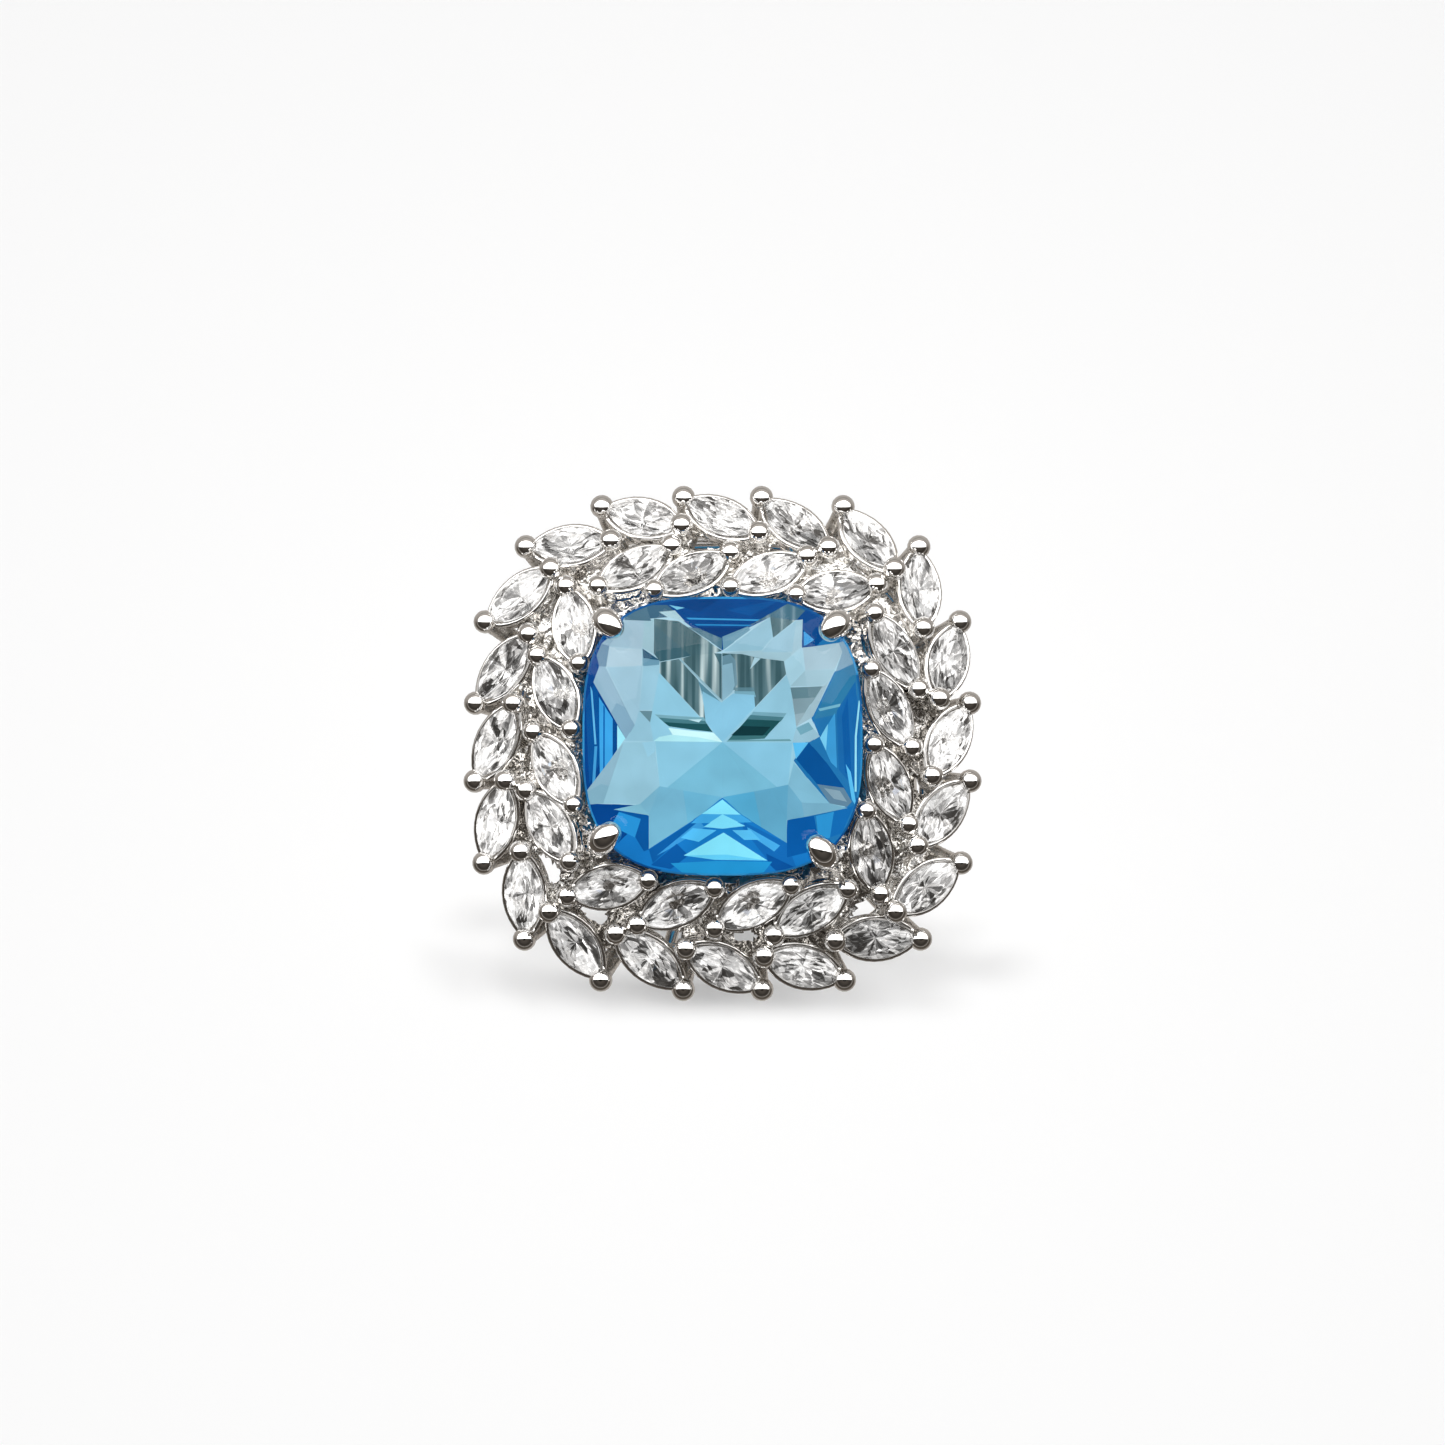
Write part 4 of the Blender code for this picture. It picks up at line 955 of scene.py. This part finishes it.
def cast_bed():
    """The cast floor that the settings stand in: one pitted skin between the rows,
    pierced here and there."""
    n, m = 480, 26
    lo, hi = 6.6, 11.0
    top, bottom = [], []
    for i in range(n):
        a = 360 * i / n
        for j in range(m + 1):
            edge = 0.22 * noise.noise(Vector((cos(radians(a)) * 5, sin(radians(a)) * 5, 0)))
            h = lo + (hi + edge - lo) * j / m
            r = squircle(h, 3.0, a)
            p = polar(a, r, 0)
            p.z = bed_z(h, p.x, p.y)
            q = rough(p, 0.17, 2.7)
            q = rough(q, 0.07, 7.5)
            top.append(q)
            bottom.append(Vector((q.x, q.y, p.z - 0.42)))
    faces = []
    for i in range(n):
        for j in range(m):
            ids = (i * (m + 1) + j, i * (m + 1) + j + 1, ((i + 1) % n) * (m + 1) + j + 1, ((i + 1) % n) * (m + 1) + j)
            c = (top[ids[0]] + top[ids[2]]) / 2
            open_ = False
            for hx, hy, size in HOLES:
                rad = Vector((hx, hy, 0)).normalized()
                d = Vector((c.x - hx, c.y - hy, 0))
                u, v = d.dot(rad), d.cross(rad).z
                k = 0.25 * noise.noise(Vector((c.x * 2, c.y * 2, 4)))
                if (u / (size * 0.50)) ** 2 + (v / size) ** 2 < 1 + k:
                    open_ = True
            if not open_:
                faces.append(ids)
    used = sorted({i for f in faces for i in f})
    index = {v: k for k, v in enumerate(used)}
    verts = [top[i] for i in used] + [bottom[i] for i in used]
    k = len(used)
    up = [tuple(index[i] for i in f) for f in faces]
    edges = {(f[i], f[(i + 1) % 4]) for f in up for i in range(4)}
    walls = [(e[1], e[0], e[0] + k, e[1] + k) for e in sorted(edges) if (e[1], e[0]) not in edges]
    b = Build()
    b.add(verts, up + [tuple(i + k for i in reversed(f)) for f in up] + walls)
    ob = b.done("halo_bed", [CAST], 75)
    bm = bmesh.new()
    bm.from_mesh(ob.data)
    bmesh.ops.recalc_face_normals(bm, faces=bm.faces)
    bm.to_mesh(ob.data)
    bm.free()
    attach(ob, "root")


cast_bed()


CLAW_SHIFT = ((0.9, -0.24), (5.0, -0.40), (3.4, -0.24), (-0.8, -0.10))     # each claw is bent a little its own way


def basket():
    b = Build()
    for side in range(4):
        ang = 45 + 90 * side
        rad = polar(ang, 1, 0)
        up = Vector((0, 0, 1))
        foot = polar(ang, 3.1, 20.85)
        turn, push = CLAW_SHIFT[side]
        path = [polar(ang + turn, r + push, z) for r, z in ((7.74, 28.78), (7.95, 28.86), (8.18, 28.80), (8.36, 28.60),
                                              (8.47, 28.30), (8.50, 27.90), (8.44, 27.50))]
        rad_ = [0.60, 0.68, 0.71, 0.70, 0.66, 0.61, 0.57]
        more = bezier(path[-1], polar(ang + turn / 2, 8.3, 26.8), polar(ang, 6.9, 26.2), polar(ang, 6.65, 25.7), 6)[1:]
        more += bezier(more[-1], polar(ang, 5.9, 24.4), polar(ang, 4.3, 22.4), foot, 10)[1:]
        path += more
        rad_ += [0.54 - 0.06 * i / len(more) for i in range(len(more))]
        # round the tip
        t = (path[0] - path[1]).normalized()
        cap = [path[0] + t * (0.54 * sin(radians(90 - 90 * k / 8))) for k in range(8)]
        capr = [max(0.02, 0.60 * cos(radians(90 - 90 * k / 8))) for k in range(8)]
        sweep(b, cap + path, capr + rad_, 28)
    ob = b.done("centre_claws", [POLISHED], 60)
    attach(ob, "root")
    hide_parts("centre_basket")
    b = Build()
    sweep(b, ring_pts(SEAT_RAIL, 96), [SEAT_RAIL[3]] * 96, 14, closed=True)
    sweep(b, [polar(360 * i / 72, BASE_RING_R, BASE_RING_Z) for i in range(72)], [BASE_WIRE] * 72, 14, closed=True)
    ob = b.done("centre_seat_rings", [POLISHED])
    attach(ob, "root")


basket()


def gallery():
    b = Build()
    sweep(b, ring_pts(GALLERY_RING, 144), [GALLERY_RING[3]] * 144, 18, closed=True)
    for i in range(12):
        ang = 15 + 30 * i
        a = polar(ang, squircle(*GALLERY_RING[:2], ang), GALLERY_RING[2])
        c = polar(ang, squircle(*OUTER_RAIL[:2], ang), OUTER_RAIL[2] - 0.1)
        pts = bezier(a, a + (c - a) * 0.33 + Vector((0, 0, -0.12)), a + (c - a) * 0.66 + Vector((0, 0, -0.12)), c, 6)
        sweep(b, pts, [0.40, 0.36, 0.33, 0.32, 0.33, 0.36, 0.40], 14)
    for i in range(8):
        ang = 22.5 + 45 * i
        a = polar(ang, squircle(*GALLERY_RING[:2], ang), GALLERY_RING[2])
        c = polar(ang, squircle(*INNER_RAIL[:2], ang), INNER_RAIL[2] - 0.1)
        pts = [a + (c - a) * k / 8 for k in range(9)]
        sweep(b, pts, [0.46, 0.40, 0.36, 0.34, 0.33, 0.34, 0.36, 0.40, 0.46], 14)
    ob = b.done("gallery_rail_wire", [POLISHED], 50)
    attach(ob, "root")
    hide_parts("gallery_rail")


gallery()


def shank():
    pts = [(BASE_HALF, 0.0), (BASE_HALF + 0.45, 0.55)]
    first = degrees(atan2(1.9 - SHANK_R, 6.0))
    end = degrees(atan2(12.2 - SHANK_R, 10.3))
    for i in range(29):
        a = radians(first + (end - first) * i / 28)
        pts.append((SHANK_R * cos(a), SHANK_R + SHANK_R * sin(a)))
    pts += [(10.1, 13.8), (9.75, 15.6), (9.45, 17.2), (9.25, 18.6), (PLATFORM_HALF, PLATFORM_Z - 0.35),
            (PLATFORM_HALF - 0.35, PLATFORM_Z)]
    outer = pts + [(-x, z) for x, z in reversed(pts)]
    bore = [(FINGER_R * cos(2 * pi * (i + 0.5) / 112), SHANK_R + FINGER_R * sin(2 * pi * (i + 0.5) / 112))
            for i in range(112)]
    window = [(5.95, 18.85), (7.7, 18.85), (7.92, 18.6), (7.95, 17.35), (7.75, 17.05), (7.5, 17.1)]
    cu = bpy.data.curves.new("shank_band", "CURVE")
    cu.dimensions = "2D"
    cu.fill_mode = "BOTH"
    cu.extrude = 0.5 * MM
    for loop in (outer, bore, window, [(-x, z) for x, z in window]):
        sp = cu.splines.new("POLY")
        sp.points.add(len(loop) - 1)
        for i, (x, z) in enumerate(loop):
            sp.points[i].co = (x * MM, z * MM, 0, 1)
        sp.use_cyclic_u = True
    tmp = bpy.data.objects.new("shank_band", cu)
    bpy.context.scene.collection.objects.link(tmp)
    tmp.rotation_euler = (radians(90), 0, 0)
    bpy.context.view_layer.update()
    me = bpy.data.meshes.new_from_object(tmp.evaluated_get(bpy.context.evaluated_depsgraph_get()))
    me.transform(tmp.matrix_world)
    bpy.data.objects.remove(tmp)
    bm = bmesh.new()
    bm.from_mesh(me)
    bmesh.ops.remove_doubles(bm, verts=bm.verts, dist=0.001 * MM)
    for v in bm.verts:
        t = min(max(v.co.z / MM / PLATFORM_Z, 0.0), 1.0)
        v.co.y *= BAND_W_BOTTOM + (BAND_W_TOP - BAND_W_BOTTOM) * t * t
    bmesh.ops.recalc_face_normals(bm, faces=bm.faces)
    rim = [e for e in bm.edges if len(e.link_faces) == 2 and e.calc_face_angle(0) > radians(60)
           and abs(e.verts[0].co.y - e.verts[1].co.y) < 0.3 * MM]
    bmesh.ops.bevel(bm, geom=rim, offset=0.42 * MM, segments=5, affect="EDGES", profile=0.5, clamp_overlap=True)
    bmesh.ops.recalc_face_normals(bm, faces=bm.faces)
    for f in bm.faces:
        f.smooth = True
    bm.to_mesh(me)
    bm.free()
    me.name = "shank_band"
    me.materials.clear()
    me.materials.append(POLISHED)
    me.set_sharp_from_angle(angle=radians(35))
    ob = bpy.data.objects.new("shank_band", me)
    bpy.context.scene.collection.objects.link(ob)
    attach(ob, "root")
    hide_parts("shank")


shank()

# ------------------------------------------------------------ floor and light
fm, nt, b = new_mat("pale_floor")
b.inputs["Roughness"].default_value = 1.0
b.inputs["Specular IOR Level"].default_value = 0.0
b.inputs["Emission Color"].default_value = (1, 1, 1, 1)
lp = node(nt, "ShaderNodeLightPath")
# painted reflection: to glossy rays the floor takes painted room colours (below); to other rays it is plain pale
mx = node(nt, "ShaderNodeMix", data_type="RGBA")
mx.inputs[6].default_value = (0.90, 0.90, 0.90, 1)
link(nt, lp.outputs["Is Glossy Ray"], mx.inputs["Factor"])
link(nt, mx.outputs[2], b.inputs["Base Color"])
ge = node(nt, "ShaderNodeNewGeometry")
ln = node(nt, "ShaderNodeVectorMath", operation="LENGTH")
link(nt, ge.outputs["Position"], ln.inputs[0])
sy = node(nt, "ShaderNodeSeparateXYZ")
link(nt, ge.outputs["Position"], sy.inputs[0])
far = node(nt, "ShaderNodeMapRange", interpolation_type="SMOOTHSTEP")
far.inputs["From Min"].default_value = 0.026
far.inputs["From Max"].default_value = 0.060
link(nt, ln.outputs["Value"], far.inputs["Value"])
rear = node(nt, "ShaderNodeMapRange", interpolation_type="SMOOTHSTEP")
rear.inputs["From Min"].default_value = -0.03
rear.inputs["From Max"].default_value = 0.06
link(nt, sy.outputs["Y"], rear.inputs["Value"])
# painted reflection: dark in front, light behind, like the walls of a room mirrored in the metal
wall = node(nt, "ShaderNodeMix", data_type="RGBA")
wall.inputs[6].default_value = (0.10, 0.085, 0.07, 1)
wall.inputs[7].default_value = (0.46, 0.43, 0.40, 1)
link(nt, rear.outputs["Result"], wall.inputs["Factor"])
painted_reflection_near = node(nt, "ShaderNodeMix", data_type="RGBA")
painted_reflection_near.inputs[6].default_value = (0.44, 0.41, 0.38, 1)
link(nt, wall.outputs[2], painted_reflection_near.inputs[7])
link(nt, far.outputs["Result"], painted_reflection_near.inputs["Factor"])
link(nt, painted_reflection_near.outputs[2], mx.inputs[7])
mr = node(nt, "ShaderNodeMapRange")
mr.inputs["To Min"].default_value = 1.0
mr.inputs["To Max"].default_value = 0.0
link(nt, lp.outputs["Is Glossy Ray"], mr.inputs["Value"])
out = node(nt, "ShaderNodeMapRange", interpolation_type="SMOOTHSTEP")
out.inputs["From Min"].default_value = 0.06
out.inputs["From Max"].default_value = 0.50
out.inputs["To Min"].default_value = 0.012
out.inputs["To Max"].default_value = 1.0
link(nt, ln.outputs["Value"], out.inputs["Value"])
link(nt, math2(nt, "MULTIPLY", mr.outputs["Result"], out.outputs["Result"]), b.inputs["Emission Strength"])
bpy.ops.mesh.primitive_plane_add(size=3.0, location=(0, 0, -0.00005))
floor = bpy.context.object
floor.name = "floor"
floor.data.materials.append(fm)


def ramp_of(nt, stops, socket):
    r = node(nt, "ShaderNodeValToRGB")
    e = r.color_ramp.elements
    e[0].position, e[0].color = stops[0][0], (*stops[0][1], 1)
    e[1].position, e[1].color = stops[-1][0], (*stops[-1][1], 1)
    for pos, c in stops[1:-1]:
        q = e.new(pos)
        q.color = (*c, 1)
    link(nt, socket, r.inputs["Fac"])
    return r.outputs["Color"]


def warm(v):
    return (v, v * 0.93, v * 0.86)


def brown(v):
    return (v, v * 0.87, v * 0.75)


world = bpy.data.worlds.new("studio")
bpy.context.scene.world = world
world.use_nodes = True
nt = world.node_tree
nt.nodes.clear()
tc = node(nt, "ShaderNodeTexCoord")
sep = node(nt, "ShaderNodeSeparateXYZ")
link(nt, tc.outputs["Generated"], sep.inputs[0])
# the room as the metal mirrors it: a light wall behind, a dark one in front
back = ramp_of(nt, [(0.0, warm(0.50)), (0.12, warm(0.48)), (0.35, warm(0.48)), (0.60, warm(0.50)),
                    (0.80, warm(0.26)), (1.0, warm(0.10))], sep.outputs["Z"])
front = ramp_of(nt, [(0.0, warm(0.30)), (0.05, warm(0.40)), (0.14, brown(0.10)), (0.40, brown(0.035)),
                     (0.70, brown(0.06)), (0.93, brown(0.085)), (0.98, brown(0.015)), (1.0, brown(0.015))], sep.outputs["Z"])
mr = node(nt, "ShaderNodeMapRange")
mr.interpolation_type = "SMOOTHSTEP"
mr.inputs["From Min"].default_value = -0.05
mr.inputs["From Max"].default_value = 0.35
link(nt, sep.outputs["Y"], mr.inputs["Value"])
mx = node(nt, "ShaderNodeMix", data_type="RGBA")
link(nt, mr.outputs["Result"], mx.inputs["Factor"])
link(nt, front, mx.inputs[6])
link(nt, back, mx.inputs[7])
lp = node(nt, "ShaderNodeLightPath")
soft = node(nt, "ShaderNodeMix", data_type="RGBA")
soft.inputs[7].default_value = (0.03, 0.03, 0.03, 1)
link(nt, lp.outputs["Is Diffuse Ray"], soft.inputs["Factor"])
link(nt, mx.outputs[2], soft.inputs[6])
mix = node(nt, "ShaderNodeMix", data_type="RGBA")
mix.inputs[7].default_value = (1, 1, 1, 1)
link(nt, lp.outputs["Is Camera Ray"], mix.inputs["Factor"])
link(nt, soft.outputs[2], mix.inputs[6])
bg = node(nt, "ShaderNodeBackground")
link(nt, mix.outputs[2], bg.inputs["Color"])
wo = node(nt, "ShaderNodeOutputWorld")
link(nt, bg.outputs[0], wo.inputs["Surface"])


def area(name, loc, size, radiance, target=(0, 0, 0.0246), glossy=True, diffuse=True):
    li = bpy.data.lights.new(name, "AREA")
    li.shape = "RECTANGLE"
    li.size, li.size_y = size
    li.energy = radiance * pi * size[0] * size[1]
    ob = bpy.data.objects.new(name, li)
    bpy.context.scene.collection.objects.link(ob)
    ob.location = loc
    ob.rotation_euler = (Vector(target) - Vector(loc)).to_track_quat("-Z", "Y").to_euler()
    ob.visible_camera = False
    ob.visible_glossy = glossy
    ob.visible_transmission = glossy
    ob.visible_diffuse = diffuse
    return ob


# a strip mirrored by the stones, and a wider one that lies as a white band across every ball prong
area("strip", (0.0, 0.027, 0.0526), (0.180, 0.027), 1.9, diffuse=False)
def lit_by(ob, *materials):
    """Let this lamp reach only the pieces made of these materials."""
    group = bpy.data.collections.new(ob.name + "_pieces")
    for piece in list(bpy.data.objects):
        if piece.type == "MESH" and piece.data.materials and piece.data.materials[0] in materials \
                and ("prongs" in piece.name or "claws" in piece.name) == (ob.name == "band"):
            group.objects.link(piece)
    ob.light_linking.receiver_collection = group


lit_by(area("band", (0.0, 0.0415, 0.100), (0.60, 0.097), 2.6, target=(0.0, 0.0415, 0.0), diffuse=False), POLISHED)
lit_by(area("sheen", (0.0, 0.0415, 0.100), (0.60, 0.097), 0.50, target=(0.0, 0.0415, 0.0), diffuse=False),
       POLISHED, STEM, CAST)


# soft panels round about, mirrored by the shank alone
for k, (x, y) in enumerate(((0.20, -0.10), (-0.20, -0.10), (0.0, -0.24), (0.13, 0.22), (-0.13, 0.22))):
    panel = area("panel_%d" % k, (x, y, 0.055), (0.06, 0.13), 1.5, target=(0, 0, 0.010), diffuse=False)
    group = bpy.data.collections.new("panel_%d_pieces" % k)
    group.objects.link(bpy.data.objects["shank_band"])
    panel.light_linking.receiver_collection = group


def lamp_past(name, loc, size, radiance, stones):
    """A lamp whose shadow is thrown by these pieces alone."""
    ob = area(name, loc, size, radiance, target=(0, 0, 0), glossy=False)
    blockers = bpy.data.collections.new(name + "_blockers")
    for piece in stones:
        blockers.objects.link(piece)
    ob.light_linking.blocker_collection = blockers


# two overhead strip lamps: together their shadow is the soft, flat one below the head
HIDDEN = [o for o in bpy.data.objects if o.name in ("shank_band", "gallery_rail_wire", "centre_claws",
                                                    "centre_seat_rings", "inner_halo_rail")]
lamp_past("overhead", (0.0, -0.010, 0.42), (0.26, 0.018), 117.5, [bpy.data.objects[q.name + "_cut"] for q in
                                                                 outer_seats[10:15] + inner_seats[8:12]])
lamp_past("overhead_corners", (0.0, 0.0, 0.42), (0.12, 0.035), 9.0, [bpy.data.objects[q.name + "_cut"] for q in
                                                                     outer_seats[10:11] + outer_seats[14:15]] + HIDDEN)
# a small lamp beside the camera, for the contact shadow
area("front", (0.0, -0.0275, 0.290), (0.008, 0.008), 160.0, target=(0, 0, 0), glossy=False)

scene = bpy.context.scene
cam = bpy.data.cameras.new("camera")
camo = bpy.data.objects.new("camera", cam)
scene.collection.objects.link(camo)
scene.camera = camo
ELEV = radians(84)
DIST = 0.250
view = Vector((0, -cos(ELEV), sin(ELEV)))
head = Vector((0, 0, 0.0246))
image_up = Vector((0, sin(ELEV), cos(ELEV)))
target = head + image_up * 0.00100
camo.location = target + view * DIST
camo.rotation_euler = (-view).to_track_quat("-Z", "Y").to_euler()
cam.sensor_width = 36
cam.lens = 36 * DIST / 0.0737
cam.clip_start, cam.clip_end = 0.01, 10
scene.view_settings.view_transform = "Standard"
scene.view_settings.look = "None"
scene.cycles.use_denoising = True
scene.cycles.max_bounces = 16
scene.cycles.transmission_bounces = 16
scene.cycles.transparent_max_bounces = 16
scene.cycles.glossy_bounces = 8
scene.cycles.sample_clamp_indirect = 8
